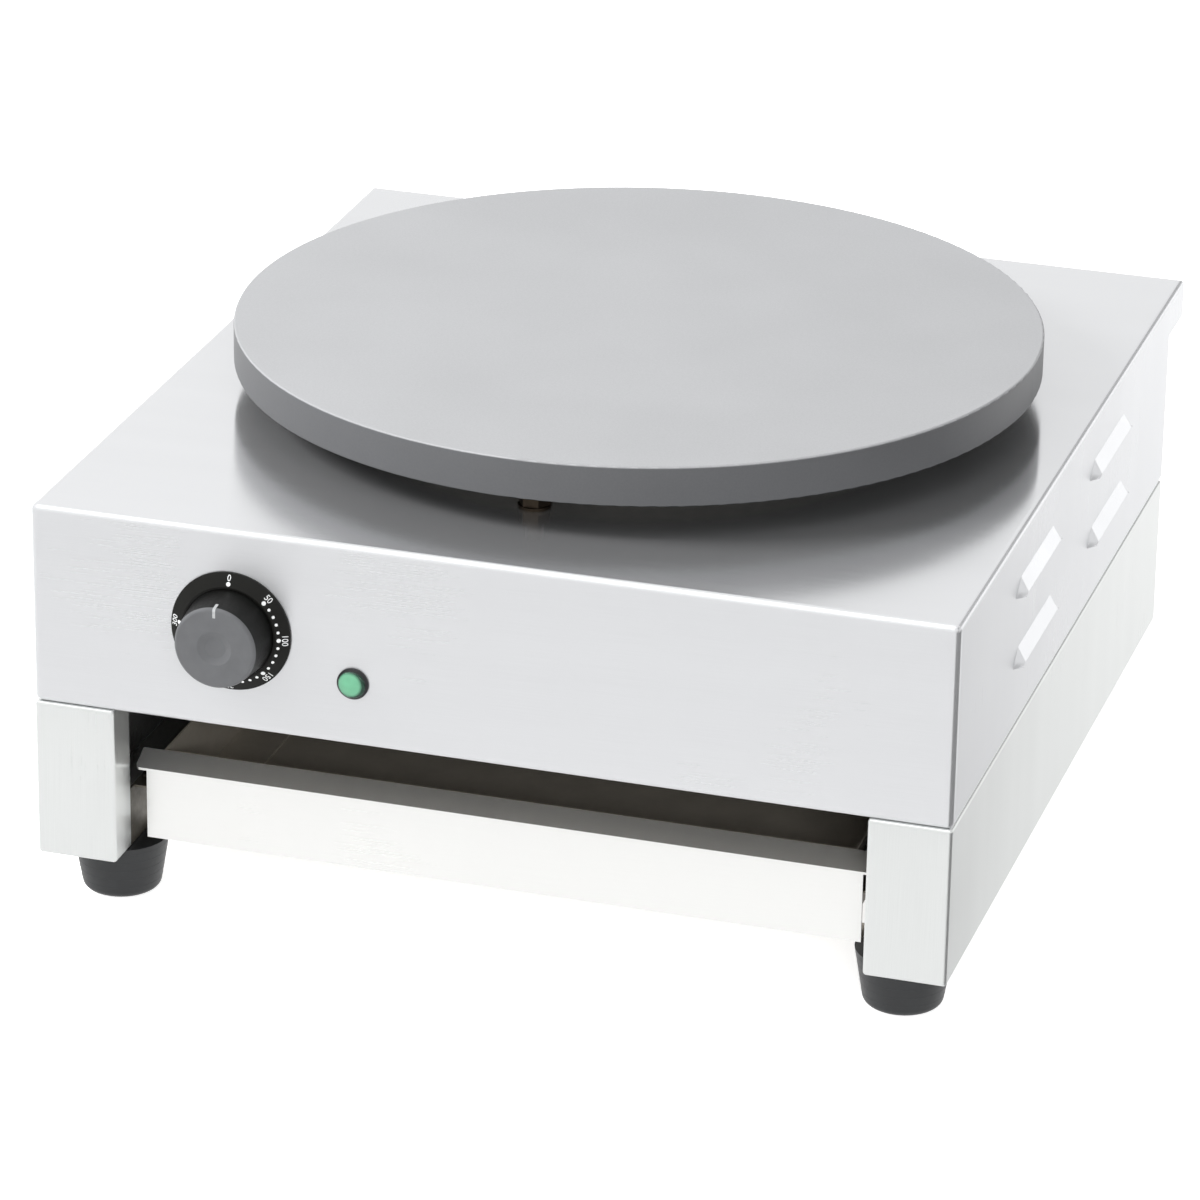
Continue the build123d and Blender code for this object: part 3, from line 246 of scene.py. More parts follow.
def grow(name, tree, spots, values, material):
    """Plain mesh piece that a tree grows from a vertex at each spot."""
    seed = bpy.data.meshes.new(name)
    seed.from_pydata([tuple(spot) for spot in spots], [], [])
    piece = bpy.data.objects.new(name, seed)
    bpy.context.scene.collection.objects.link(piece)
    grower = piece.modifiers.new(tree.name, "NODES")
    grower.node_group = tree
    values = {**values, "Material": material}
    for item in tree.interface.items_tree:
        if item.in_out == "INPUT" and item.name in values:
            grower[item.identifier] = values[item.name]
    ready = piece.evaluated_get(bpy.context.evaluated_depsgraph_get())
    grown = bpy.data.meshes.new_from_object(ready)
    piece.modifiers.clear()
    piece.data = grown
    grown.name = name
    if not grown.polygons:
        raise RuntimeError(f"{name} grew no faces")
    grown.set_sharp_from_angle(angle=SHARP_EDGE)
    return piece


# ---- Finishes

# Upward part of the normal at which a bend turns from an upright face to the level deck
BEND_TURNS = (0.75, 0.97)
# From the griddle plate's top, its underside and the knob's face: where one finish turns to the next
TOP_EDGE = (-0.9 * MM, -0.3 * MM)
SKIN_EDGE = (0.5 * MM, 0.1 * MM)
FACE_EDGE = (1.7 * MM, 1.3 * MM)
# Heat leaves an oxide on the rim that is less metallic than the rubbed top
RIM_METAL, TOP_METAL = 0.15, 0.55
# Painted shade: the lens darkens between these shares of its radius, and further out on the far side, which
# leaves a dark crescent on its right
LENS_EDGE = (0.85, 1.1)
LENS_SHIFT = Vector((-0.9 * MM, 0, 0.2 * MM))


def brushed_stainless(name, steel, colour, grain, contrast):
    """Stainless sheet, belt-brushed one way: soft streaked mirror, stretched across the grain."""
    material, tree, point = new_material(name)
    normal = add(tree, "ShaderNodeNewGeometry").outputs["Normal"]
    across = add(tree, "ShaderNodeVectorMath", {0: normal, 1: grain}, operation="CROSS_PRODUCT")
    across = add(tree, "ShaderNodeVectorMath", {0: across}, operation="NORMALIZE")
    along = add(tree, "ShaderNodeVectorMath", {0: normal, 1: across}, operation="CROSS_PRODUCT")
    u = add(tree, "ShaderNodeVectorMath", {0: point, 1: across}, operation="DOT_PRODUCT")
    v = add(tree, "ShaderNodeVectorMath", {0: point, 1: along}, operation="DOT_PRODUCT")
    u = add(tree, "ShaderNodeMath", {0: u, 1: 1 / steel.grain_width}, operation="MULTIPLY")
    v = add(tree, "ShaderNodeMath", {0: v, 1: 1 / steel.grain_length}, operation="MULTIPLY")
    sheet = add(tree, "ShaderNodeCombineXYZ", {"X": u, "Y": v})
    grains = speckle(tree, sheet, 1.0, 0.0, 1.0)
    # Broad streaks from belt to belt, and a sheen that handling leaves a little cloudy
    broad = speckle(tree, sheet, 60.0, 1 - contrast, 1 + 0.5 * contrast, detail=1.0)
    cloud = speckle(tree, point, 90 * MM, -0.015, 0.015, detail=1.0)
    span = {"Value": grains, "To Min": 1 - contrast, "To Max": 1 + 0.7 * contrast}
    fine = add(tree, "ShaderNodeMapRange", span)
    shade = add(tree, "ShaderNodeMath", {0: fine, 1: broad}, operation="MULTIPLY")
    # Wiping keeps the level deck smoother than the upright faces
    worn = fade(tree, normal, "Z", *BEND_TURNS, steel.roughness, steel.deck_roughness)
    uneven = add(tree, "ShaderNodeMath", {0: grains, 1: 0.03, 2: cloud}, operation="MULTIPLY_ADD")
    surface(
        tree,
        colour,
        shade,
        height=grains,
        depth=0.01 * MM,
        strength=steel.relief,
        Metallic=steel.metallic,
        Roughness=add(tree, "ShaderNodeMath", {0: worn, 1: uneven}, operation="ADD"),
        Anisotropic=steel.anisotropy,
        Tangent=across,
    )
    return material


def pickled_stainless():
    """Stainless inside of the drawer, pickled and not brushed: dull grey with a soft sheen."""
    material, tree, point = new_material("pickled_stainless")
    surface(
        tree,
        linear("#BDB6AA"),
        speckle(tree, point, 25 * MM, 0.9, 1.05),
        height=speckle(tree, point, 0.4 * MM, 0.0, 1.0),
        depth=0.01 * MM,
        strength=0.3,
        Metallic=0.35,
        Roughness=speckle(tree, point, 3 * MM, 0.4, 0.5),
    )
    return material


def galvanised_sheet():
    """Hot-dip zinc on steel, weathered warm grey and painted darker still as shade for the parts inside:
    dull, with soft crystal patches.
    """
    material, tree, point = new_material("galvanised_steel_sheet")
    cells = add(tree, "ShaderNodeTexVoronoi", {"Vector": point, "Scale": 1 / (9 * MM)})
    shade = add(tree, "ShaderNodeMapRange", {"Value": cells, "To Min": 0.85, "To Max": 1.05})
    rough = speckle(tree, point, 2 * MM, 0.38, 0.5)
    # Painted shade: the grey is darker than the zinc itself, for the shade inside the body
    surface(tree, linear("#757168"), shade, Metallic=0.8, Roughness=rough)
    return material


def zinc_plated_steel():
    """Bright zinc plating on fasteners: cool, nearly mirror-like, with faint handling marks."""
    material, tree, point = new_material("zinc_plated_steel")
    shade = speckle(tree, point, 1 * MM, 0.92, 1.03)
    rough = speckle(tree, point, 0.6 * MM, 0.2, 0.34)
    surface(tree, linear("#C4C7CA"), shade, Metallic=1.0, Roughness=rough)
    return material


def machined_iron(plate):
    """Cast iron faced on a lathe: dull pale top with the tool's fine rings; the turned rim's darker colour is
    partly heat oxide and partly painted shade, and the underside's near-black is partly its dark cast surface
    and partly painted shade.
    """
    material, tree, point = new_material("machined_cast_iron")
    low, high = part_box("cooking_plate")
    # The tool advances 0.2 mm a turn; drawn four times as coarse so that it shows
    feed = turned_rings(tree, point, (low + high) / 2, plate.ring_pitch, "Z", 0.6, detail=1.0)
    # Graphite flakes in the grey iron make it finely grainy
    flakes = speckle(tree, point, 0.9 * MM, 0.0, 1.0, detail=4.0)
    cloud = speckle(tree, point, 70 * MM, 0.98, 1.02, detail=1.0)
    on_top = fade(tree, point, "Z", *(high.z + edge for edge in TOP_EDGE))
    # The underside keeps its dark cast surface, painted near-black as shade under the plate
    skin = fade(tree, point, "Z", *(low.z + edge for edge in SKIN_EDGE))
    # The rim's darker colour is partly heat oxide and partly painted shade of its upright side
    turned = {"Factor": on_top, "A": plate.rim_colour, "B": plate.top_colour}
    colour = add(tree, "ShaderNodeMix", turned, data_type="RGBA")
    cast = {"Factor": skin, "A": colour, "B": plate.skin_colour}
    colour = add(tree, "ShaderNodeMix", cast, data_type="RGBA")
    grain = add(tree, "ShaderNodeMapRange", {"Value": flakes, "To Min": 0.96, "To Max": 1.03})
    rough = add(tree, "ShaderNodeMix", {"Factor": on_top, "A": plate.rim_roughness, "B": plate.top_roughness})
    metal = add(tree, "ShaderNodeMix", {"Factor": on_top, "A": RIM_METAL, "B": TOP_METAL})
    surface(
        tree,
        colour,
        add(tree, "ShaderNodeMath", {0: grain, 1: cloud}, operation="MULTIPLY"),
        height=add(tree, "ShaderNodeMath", {0: feed, 1: flakes}, operation="ADD"),
        depth=0.008 * MM,
        strength=0.35,
        Metallic=add(tree, "ShaderNodeMix", {"Factor": skin, "A": metal, "B": 0.0}),
        Roughness=add(tree, "ShaderNodeMix", {"Factor": skin, "A": rough, "B": 1.0}),
    )
    return material


def matt_plastic(name, hex_colour, roughness, grit, gloss=0.2):
    """Moulded plastic with a spark-eroded texture: dark, softly glossy, finely grained."""
    material, tree, point = new_material(name)
    surface(
        tree,
        linear(hex_colour),
        speckle(tree, point, 8 * MM, 0.9, 1.1),
        height=speckle(tree, point, grit, 0.0, 1.0),
        depth=0.02 * MM,
        strength=0.3,
        Roughness=speckle(tree, point, 2 * MM, roughness - 0.04, roughness + 0.04),
        Specular_IOR_Level=gloss,
    )
    return material


def thermostat_knob(knob):
    """Black moulded knob whose flat face is grey, partly its own grey and partly a painted sheen of its spun
    finish.
    """
    material, tree, point = new_material("moulded_knob_plastic")
    face_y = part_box("knob_grip")[0].y
    on_face = fade(tree, point, "Y", *(face_y + edge for edge in FACE_EDGE))
    # The face's grey is partly its own colour and partly painted sheen
    moulded = {"Factor": on_face, "A": knob.side_colour, "B": knob.face_colour}
    surface(
        tree,
        add(tree, "ShaderNodeMix", moulded, data_type="RGBA"),
        speckle(tree, point, 6 * MM, 0.95, 1.05),
        height=turned_rings(tree, point, centre("knob_grip"), knob.spin_pitch, "Y", 0.4),
        depth=0.01 * MM,
        strength=0.25,
        Roughness=speckle(tree, point, 1.5 * MM, 0.38, 0.46),
        Specular_IOR_Level=0.25,
    )
    return material


def green_acrylic(lamp, middle, radius):
    """Clear green acrylic: glossy, with painted shade that darkens it nearly to black towards its edge and in
    a crescent on its right.
    """
    material, tree, point = new_material("green_acrylic")
    flat = add(tree, "ShaderNodeVectorMath", {0: point, 1: middle + LENS_SHIFT}, operation="SUBTRACT")
    flat = add(tree, "ShaderNodeVectorMath", {0: flat, 1: (1, 0, 1)}, operation="MULTIPLY")
    out = add(tree, "ShaderNodeVectorMath", {0: flat}, operation="LENGTH")
    start, end = (share_of * radius for share_of in LENS_EDGE)
    thick = {"Value": out, "From Min": start, "From Max": end}
    edge_share = add(tree, "ShaderNodeMapRange", thick)
    # Painted shade: the colour darkens towards the lens's edge, most on its right
    dyed = {"Factor": edge_share, "A": lamp.colour, "B": lamp.edge_colour}
    surface(
        tree,
        add(tree, "ShaderNodeMix", dyed, data_type="RGBA"),
        speckle(tree, point, 4 * MM, 0.95, 1.05),
        Roughness=speckle(tree, point, 1 * MM, 0.06, 0.12),
        IOR=1.49,
        Transmission_Weight=0.45,
    )
    return material


def plain_finish(name, hex_colour, metallic, low_rough, high_rough, grain, relief=0.02):
    """Finish that differs from its neighbours by colour, metal, sheen and grain size."""
    material, tree, point = new_material(name)
    surface(
        tree,
        linear(hex_colour),
        speckle(tree, point, 3 * grain, 0.88, 1.08),
        height=speckle(tree, point, grain, 0.0, 1.0, detail=5.0),
        depth=relief * MM,
        strength=0.5,
        Metallic=metallic,
        Roughness=speckle(tree, point, grain, low_rough, high_rough),
    )
    return material


# ---- Settings


def paint(name, description, default):
    """Colour that a user may change, its default written #RRGGBB."""
    return bpy.props.FloatVectorProperty(
        name=name, description=description, default=linear(default), size=4, min=0, max=1, subtype="COLOR"
    )


def length(name, description, default):
    """Length that a user may change, in metres."""
    return bpy.props.FloatProperty(
        name=name, description=description, default=default, unit="LENGTH", precision=5
    )


def share(name, description, default, least=0, most=1):
    """Number that a user may change between a least and a most."""
    return bpy.props.FloatProperty(name=name, description=description, default=default, min=least, max=most)


def count(name, description, default, least, most):
    """Whole number that a user may change between a least and a most."""
    return bpy.props.IntProperty(name=name, description=description, default=default, min=least, max=most)


class CrepeSteel(bpy.types.PropertyGroup):
    colour: paint("Sheet colour", "Colour of the stainless sheet", "#E4E5E7")
    # The channels' colour is greener than the sheet, their own tint, and lighter as painted light
    channel_colour: paint("Channel colour", "Colour of the side channels", "#E8EAE9")
    # Painted light: the drawer's face wears the same sheet in a brighter colour, for the light it catches
    drawer_colour: paint("Drawer colour", "Colour of the drawer's brighter face", "#FAFAF8")
    metallic: share("Metal", "Share of mirrored light in what the sheet gives back", 0.85)
    roughness: share("Roughness", "Dullness of the brushed upright faces", 0.28, least=0.05, most=0.9)
    deck_roughness: share("Deck roughness", "Dullness of the wiped deck", 0.13, least=0.05, most=0.9)
    anisotropy: share("Stretch", "How far reflections stretch across the grain", 0.85)
    grain_width: length("Grain width", "Width of one streak, drawn coarser than the real 0.1 mm", 0.5 * MM)
    grain_length: length("Grain length", "Length of one streak", 45 * MM)
    relief: share("Relief", "Strength of the streaks' relief", 0.006)


class CrepePlate(bpy.types.PropertyGroup):
    top_colour: paint("Top colour", "Faced top of the griddle plate", "#BDBEC0")
    # The rim's colour is partly heat oxide and partly painted shade
    rim_colour: paint("Rim colour", "Turned rim of the griddle plate", "#5E5F61")
    # The underside's near-black is partly its dark cast surface and partly painted shade
    skin_colour: paint("Underside colour", "Cast skin under the plate", "#0E0E0D")
    top_roughness: share("Top roughness", "Dullness of the top", 0.55, least=0.05)
    rim_roughness: share("Rim roughness", "Dullness of the rim", 0.42, least=0.05)
    ring_pitch: length("Ring pitch", "Spacing of the tool's rings", 0.8 * MM)


class CrepeThreads(bpy.types.PropertyGroup):
    stud_pitch: length("Support thread", "Pitch of the M8 thread", 1.25 * MM)
    bonding_pitch: length("Bonding thread", "Pitch of the M6 thread", 1.0 * MM)


class CrepeDial(bpy.types.PropertyGroup):
    top_mark: bpy.props.IntProperty(
        name="Highest mark", description="Temperature at the end of the scale", default=300, min=50, step=50
    )
    first_angle: bpy.props.FloatProperty(
        name="First mark",
        description="Angle from zero to the mark 50",
        default=math.radians(45),
        subtype="ANGLE",
    )
    mark_angle: bpy.props.FloatProperty(
        name="Mark spacing",
        description="Angle from one number to the next",
        default=math.radians(46),
        subtype="ANGLE",
    )
    dots_between: count("Small dots", "Dots between two numbers", 4, 0, 9)
    dot_radius: length("Dot radius", "Radius of a small dot", 0.75 * MM)
    large_dot: share("Large dot", "Radius of a number's dot for a small dot's 1", 1.4, least=1, most=2)
    dot_circle: length("Dot circle", "Radius of the circle of dots", 24.8 * MM)
    number_circle: length("Number circle", "Radius at the numbers' feet", 26.2 * MM)
    number_height: length("Number height", "Height of the digits", 2.8 * MM)


class CrepeKnob(bpy.types.PropertyGroup):
    # Partly the face's own grey, partly painted sheen
    face_colour: paint("Face colour", "Flat face of the knob", "#606163")
    side_colour: paint("Side colour", "Tapered side of the knob", "#0B0B0A")
    spin_pitch: length("Spin pitch", "Spacing of the face's spun rings", 0.5 * MM)


class CrepeLamp(bpy.types.PropertyGroup):
    colour: paint("Lens colour", "Clear green of the pilot lamp's lens", "#88D4AC")
    # Painted shade at the lens's edge
    edge_colour: paint("Lens edge colour", "Dark green of the lens's edge", "#1E4A38")
    wall: length("Lens wall", "Thickness of the lens", 1.0 * MM)
    lip: length("Lens lip", "How far the lens laps over its bezel", 0.8 * MM)
    dish_depth: length("Dish depth", "From the dish's back to its floor", 1.6 * MM)
    dish_setback: length("Dish setback", "From the bezel's front to the dish's rim", 1.2 * MM)


class CrepeFeet(bpy.types.PropertyGroup):
    rib_count: count("Ribs", "Fine rings round each foot", 5, 2, 20)
    rib_radius: length("Rib radius", "Half width of one ring", 0.22 * MM)
    bottom_radius: length("Bottom radius", "Radius of a foot at the worktop", 18.75 * MM)
    first_rib: length("First rib", "Height of the lowest ring", 6 * MM)
    last_rib: length("Last rib", "How far the highest ring is below the top", 3 * MM)


class CrepeRear(bpy.types.PropertyGroup):
    head_height: length("Head height", "Height of a panel screw's head", 2.1 * MM)
    shank_radius: length("Shank radius", "Radius of a panel screw's shank", 1.75 * MM)
    recess_width: length("Recess width", "Width of the cross in the head", 0.9 * MM)
    nut_radius: length("Gland nut radius", "Radius of the dome nut's straight part", 10 * MM)
    nut_from_end: length("Gland nut place", "From the gland's end to the middle of its dome nut", 12.3 * MM)
    rib_count: count("Gland ribs", "Ribs round the gland's dome nut", 18, 6, 40)
    rib_radius: length("Gland rib radius", "Half width of a gland rib", 0.5 * MM)
    rib_length: length("Gland rib length", "Length of a gland rib", 5.8 * MM)


class CrepeStudio(bpy.types.PropertyGroup):
    floor_colour: paint("Floor colour", "White paper under the appliance", "#F2F2F2")
    ambient: share("Ambient", "Light from all round on dull surfaces", 0.62, most=2)
    floor_glow: share("Floor glow", "Light that lifts the floor to white", 0.72)
    floor_reflected: share("Reflected floor", "Level of the white floor in reflections", 0.83, most=2)
    near_reflected: share("Reflected near floor", "Level of the floor in front in reflections", 0.96, most=2)
    side_reflected: share("Reflected side floor", "Level of the right floor in reflections", 0.93, most=2)
    rear_reflected: share("Reflected rear floor", "Level of its rear part in reflections", 1.42, most=2)
    sky_reflected: share("Reflected surround", "Level of the white surround in reflections", 1.18, most=2)
    corner_level: share("Corner shade", "Share mirrored beside the front right corner", 0.08)
    card_level: share("Card", "Share left by the grey card behind the right side", 0.3)
    flag_level: share("Flag", "Share left by the dark flag high at the right", 0.2)
    strip_level: share("Strip", "Level added by the strip low behind the right side", 1.5, most=4)
    key_power: bpy.props.FloatProperty(
        name="Key softbox",
        description="Power of the softbox at the left",
        default=80.0,
        min=0,
        unit="POWER",
    )
    top_power: bpy.props.FloatProperty(
        name="Top softbox",
        description="Power of the softbox above the front",
        default=9.0,
        min=0,
        unit="POWER",
    )
    low_power: bpy.props.FloatProperty(
        name="Low softbox",
        description="Power of the softbox that looks into the drawer",
        default=18.0,
        min=0,
        unit="POWER",
    )


# ---- Camera and studio

# Degrees to the right of the front, degrees up, and degrees of tilt about the line of sight
CAMERA_ANGLES = (16.782877, 22.960464, 0.902217)
CAMERA_PLACE = (0.7555, -2.5538, 1.2259)
SENSOR_WIDTH = 36
FOCAL_LENGTH = 172.681
CAMERA_REACH = (0.1, 50)

FLOOR_REACH = 12.0
# Stretches over which the mirrored floor changes: in front, behind the face, to the rear and right
FRONT_STEP = (-0.52, -0.44)
FACE_STEP = (-0.26, -0.14)
REAR_RISE = (-0.1, 0.8)
RIGHT_STEP = (0.1, 0.22)

# Patches that the sheet mirrors: the way to each one's middle, and the cosines between which it fades in
CORNER_SHADE = ((0.99, -0.14, 0), (0.56, 0.72))
GREY_CARD = (Vector((0.39, 0.88, 0.27)).normalized(), (0.965, 0.985))
DARK_FLAG = (Vector((0.764, -0.034, 0.64)).normalized(), (0.955, 0.975))
BRIGHT_STRIP = (Vector((0.47, 0.88, 0.03)).normalized(), (0.985, 0.995))

# Each softbox's power setting, place, width, height, and whether metal mirrors it
SOFTBOXES = {
    "key_softbox": ("key_power", (-2.0, -0.55, 1.65), 0.8, 0.8, False),
    "low_softbox": ("low_power", (0.9, -2.0, 0.85), 0.6, 0.4, False),
    "top_softbox": ("top_power", (-0.4, -0.85, 1.9), 1.6, 1.5, True),
}
SOFTBOX_AIM = (0, 0, 0.15)


class CREPE_OT_camera(bpy.types.Operator):
    """Long-lens camera a little to the right of the front and above it"""

    bl_idname = "crepe.camera"
    bl_label = "Place camera"

    def execute(self, context):
        azimuth, elevation, roll = (math.radians(angle) for angle in CAMERA_ANGLES)
        aside, ahead = math.sin(azimuth), math.cos(azimuth)
        back = Vector((aside * math.cos(elevation), -ahead * math.cos(elevation), math.sin(elevation)))
        level = Vector((ahead, aside, 0))
        right = math.cos(roll) * level + math.sin(roll) * back.cross(level)
        up = back.cross(right)
        lens = bpy.data.cameras.new("product_camera")
        lens.sensor_width = SENSOR_WIDTH
        lens.lens = FOCAL_LENGTH
        lens.clip_start, lens.clip_end = CAMERA_REACH
        camera = bpy.data.objects.new("product_camera", lens)
        turn = Matrix((right, up, back)).transposed().to_4x4()
        camera.matrix_world = Matrix.Translation(CAMERA_PLACE) @ turn
        context.scene.collection.objects.link(camera)
        context.scene.camera = camera
        return {"FINISHED"}


class CREPE_OT_studio(bpy.types.Operator):
    """White floor, three softboxes and a bright surround with the cards that draw the sheet's edges"""

    bl_idname = "crepe.studio"
    bl_label = "Set up studio"

    def execute(self, context):
        context.scene.view_settings.view_transform = "Standard"
        studio = context.scene.crepe_studio
        self.lay_floor(studio)
        self.hang_surround(context.scene, studio)
        self.place_softboxes(context.scene, studio)
        return {"FINISHED"}

    def lay_floor(self, studio):
        paper, tree, spot = new_material("white_paper")
        rays = add(tree, "ShaderNodeLightPath").outputs
        either_ray = {0: rays["Is Camera Ray"], 1: rays["Is Transmission Ray"]}
        seen = add(tree, "ShaderNodeMath", either_ray, operation="ADD", use_clamp=True)
        glow = add(tree, "ShaderNodeMath", {0: seen, 1: studio.floor_glow}, operation="MULTIPLY")
        glow = add(tree, "ShaderNodeEmission", {"Strength": glow})
        matt = add(tree, "ShaderNodeBsdfDiffuse", {"Color": studio.floor_colour})
        lit = add(tree, "ShaderNodeAddShader", {0: matt, 1: glow})
        mirrored = add(tree, "ShaderNodeEmission", {"Strength": self.mirrored_level(tree, spot, studio)})
        paper_seen = add(tree, "ShaderNodeMixShader", {0: rays["Is Glossy Ray"], 1: lit, 2: mirrored})
        add(tree, "ShaderNodeOutputMaterial", {"Surface": paper_seen})
        shape = bmesh.new()
        corners = [(x * FLOOR_REACH, y * FLOOR_REACH, 0) for x, y in ((-1, -1), (1, -1), (1, 1), (-1, 1))]
        shape.faces.new([shape.verts.new(corner) for corner in corners])
        piece_from("studio_floor", shape, paper)

    def mirrored_level(self, tree, spot, studio):
        """At the right the mirrored paper brightens to the rear and is dark beside the front corner"""
        ahead = fade(tree, spot, "Y", *FRONT_STEP, studio.floor_reflected, studio.near_reflected)
        sideways = fade(tree, spot, "Y", *REAR_RISE, studio.side_reflected, studio.rear_reflected)
        at_right = fade(tree, spot, "X", *RIGHT_STEP)
        beside = {0: fade(tree, spot, "Y", *FACE_STEP), 1: at_right}
        beside = add(tree, "ShaderNodeMath", beside, operation="MULTIPLY")
        level = add(tree, "ShaderNodeMix", {"Factor": beside, "A": ahead, "B": sideways})
        low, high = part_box("hood")
        corner = (high.x, low.y, 0)
        from_corner = add(tree, "ShaderNodeVectorMath", {0: spot, 1: corner}, operation="SUBTRACT")
        from_corner = add(tree, "ShaderNodeVectorMath", {0: from_corner}, operation="NORMALIZE")
        shade = patch(tree, from_corner, *CORNER_SHADE, studio.corner_level)
        return add(tree, "ShaderNodeMath", {0: level, 1: shade}, operation="MULTIPLY")

    def hang_surround(self, scene, studio):
        world = bpy.data.worlds.new("bright_studio")
        world.use_nodes = True
        scene.world = world
        tree = world.node_tree
        tree.nodes.clear()
        rays = add(tree, "ShaderNodeLightPath").outputs
        toward = add(tree, "ShaderNodeTexCoord").outputs["Generated"]
        # The card draws the deck's right edge, and the flag the louvres' front ends
        card = patch(tree, toward, *GREY_CARD, studio.card_level)
        flag = patch(tree, toward, *DARK_FLAG, studio.flag_level)
        sky = add(tree, "ShaderNodeMath", {0: card, 1: studio.sky_reflected}, operation="MULTIPLY")
        sky = add(tree, "ShaderNodeMath", {0: sky, 1: flag}, operation="MULTIPLY")
        # The strip whitens the louvres and the bend beside the dark edge
        strip = patch(tree, toward, *BRIGHT_STRIP, studio.strip_level, outside=0.0)
        sky = add(tree, "ShaderNodeMath", {0: sky, 1: strip}, operation="ADD")
        level = add(tree, "ShaderNodeMix", {"Factor": rays["Is Glossy Ray"], "A": 1.0, "B": sky})
        dull = {"Factor": rays["Is Diffuse Ray"], "A": level, "B": studio.ambient}
        level = add(tree, "ShaderNodeMix", dull)
        sky = add(tree, "ShaderNodeBackground", {"Strength": level})
        add(tree, "ShaderNodeOutputWorld", {"Surface": sky})

    def place_softboxes(self, scene, studio):
        for name, (power, place, width, height, mirrored) in SOFTBOXES.items():
            lamp = bpy.data.lights.new(name, "AREA")
            lamp.shape = "RECTANGLE"
            lamp.size = width
            lamp.size_y = height
            lamp.energy = getattr(studio, power)
            box = bpy.data.objects.new(name, lamp)
            box.visible_glossy = mirrored
            aim = (Vector(place) - Vector(SOFTBOX_AIM)).to_track_quat("Z", "Y")
            box.matrix_world = Matrix.Translation(place) @ aim.to_matrix().to_4x4()
            scene.collection.objects.link(box)


# ---- Pieces and finishes

# Direction of the brushing; its small second part turns the grain on faces square to it
LEVEL_GRAIN = (1, 0, 0.02)
UPRIGHT_GRAIN = (0.02, 0, 1)


class CREPE_OT_sheet(bpy.types.Operator):
    """Brushed stainless hood, channels, drawer and rear panels"""

    bl_idname = "crepe.sheet"
    bl_label = "Finish stainless sheet"

    def execute(self, context):
        steel = context.scene.crepe_steel
        rows = (
            ("level_grain", steel.colour, LEVEL_GRAIN, 0.012, ("hood", "rear_panel", "base_rear_panel")),
            # The drawer's face is painted brighter than the hood's sheet: painted light
            ("drawer_face", steel.drawer_colour, LEVEL_GRAIN, 0.008, ("drawer_front",)),
            # The channels' colour is partly their own greener tint and partly painted light
            (
                "upright_grain",
                steel.channel_colour,
                UPRIGHT_GRAIN,
                0.02,
                ("side_channel_left", "side_channel_right"),
            ),
        )
        for name, colour, grain, contrast, nodes in rows:
            dress(brushed_stainless(f"brushed_stainless_{name}", steel, colour, grain, contrast), *nodes)
        dress(pickled_stainless(), "drawer_tray", "drawer_side_left", "drawer_side_right")
        return {"FINISHED"}


class CREPE_OT_plate(bpy.types.Operator):
    """Machined cast-iron griddle plate"""

    bl_idname = "crepe.plate"
    bl_label = "Finish griddle plate"

    def execute(self, context):
        dress(machined_iron(context.scene.crepe_plate), "cooking_plate")
        return {"FINISHED"}


class CREPE_OT_inner(bpy.types.Operator):
    """Finishes of the heating, wiring and running parts inside"""

    bl_idname = "crepe.inner"
    bl_label = "Finish inner parts"

    def execute(self, context):
        galvanised = galvanised_sheet()
        # These inner parts wear the zinc sheet painted darker as shade
        dress(galvanised, "belly_plate", "drawer_runner_left", "drawer_runner_right")
        dress(galvanised, "drawer_rail_left", "drawer_rail_right", "element_clamp", "heater_pan")
        dress(galvanised, "bulb_holder", "thermal_cutout")
        zinc = zinc_plated_steel()
        dress(zinc, "foot_screws", "foot_nuts", "body_screws", "body_nuts", "rear_screws", "pan_screws")
        dress(zinc, "support_locknuts", "lamp_nut", "bonding_stud", "bonding_nut")
        dress(zinc, "thermostat_screws", "thermostat_shaft", "knob_spring")
        # Zinc on the plate's supports, browned and dulled by the plate's heat, and painted darker still as
        # shade under the plate
        baked = plain_finish("heat_browned_zinc", "#4B4238", 1.0, 0.4, 0.55, 1.0 * MM)
        dress(baked, "plate_studs", "support_washers", "levelling_nuts")
        # Sheath of the heating rods: nickel alloy browned by heat
        sheath = plain_finish("heat_browned_sheath", "#5E544B", 1.0, 0.4, 0.6, 1.5 * MM)
        dress(sheath, "heating_element_inner", "heating_element_outer")
        # Pressed mineral fibre: dull, off-white and fuzzy
        wool = plain_finish("mineral_fibre_board", "#CFC8B4", 0.0, 0.85, 0.95, 0.8 * MM, relief=0.3)
        dress(wool, "heater_insulation")
        # Drawn copper capillary, a little tarnished
        copper = plain_finish("drawn_copper", "#B87352", 1.0, 0.22, 0.4, 1.0 * MM)
        dress(copper, "thermostat_bulb", "capillary_tube")
        # Filled thermoset of switch and terminal bodies: dull black
        thermoset = plain_finish("moulded_thermoset", "#17181A", 0.0, 0.45, 0.6, 0.5 * MM, relief=0.03)
        dress(thermoset, "thermostat_body", "terminal_block", "cable_gland", "gland_locknut", "lamp_body")
        return {"FINISHED"}


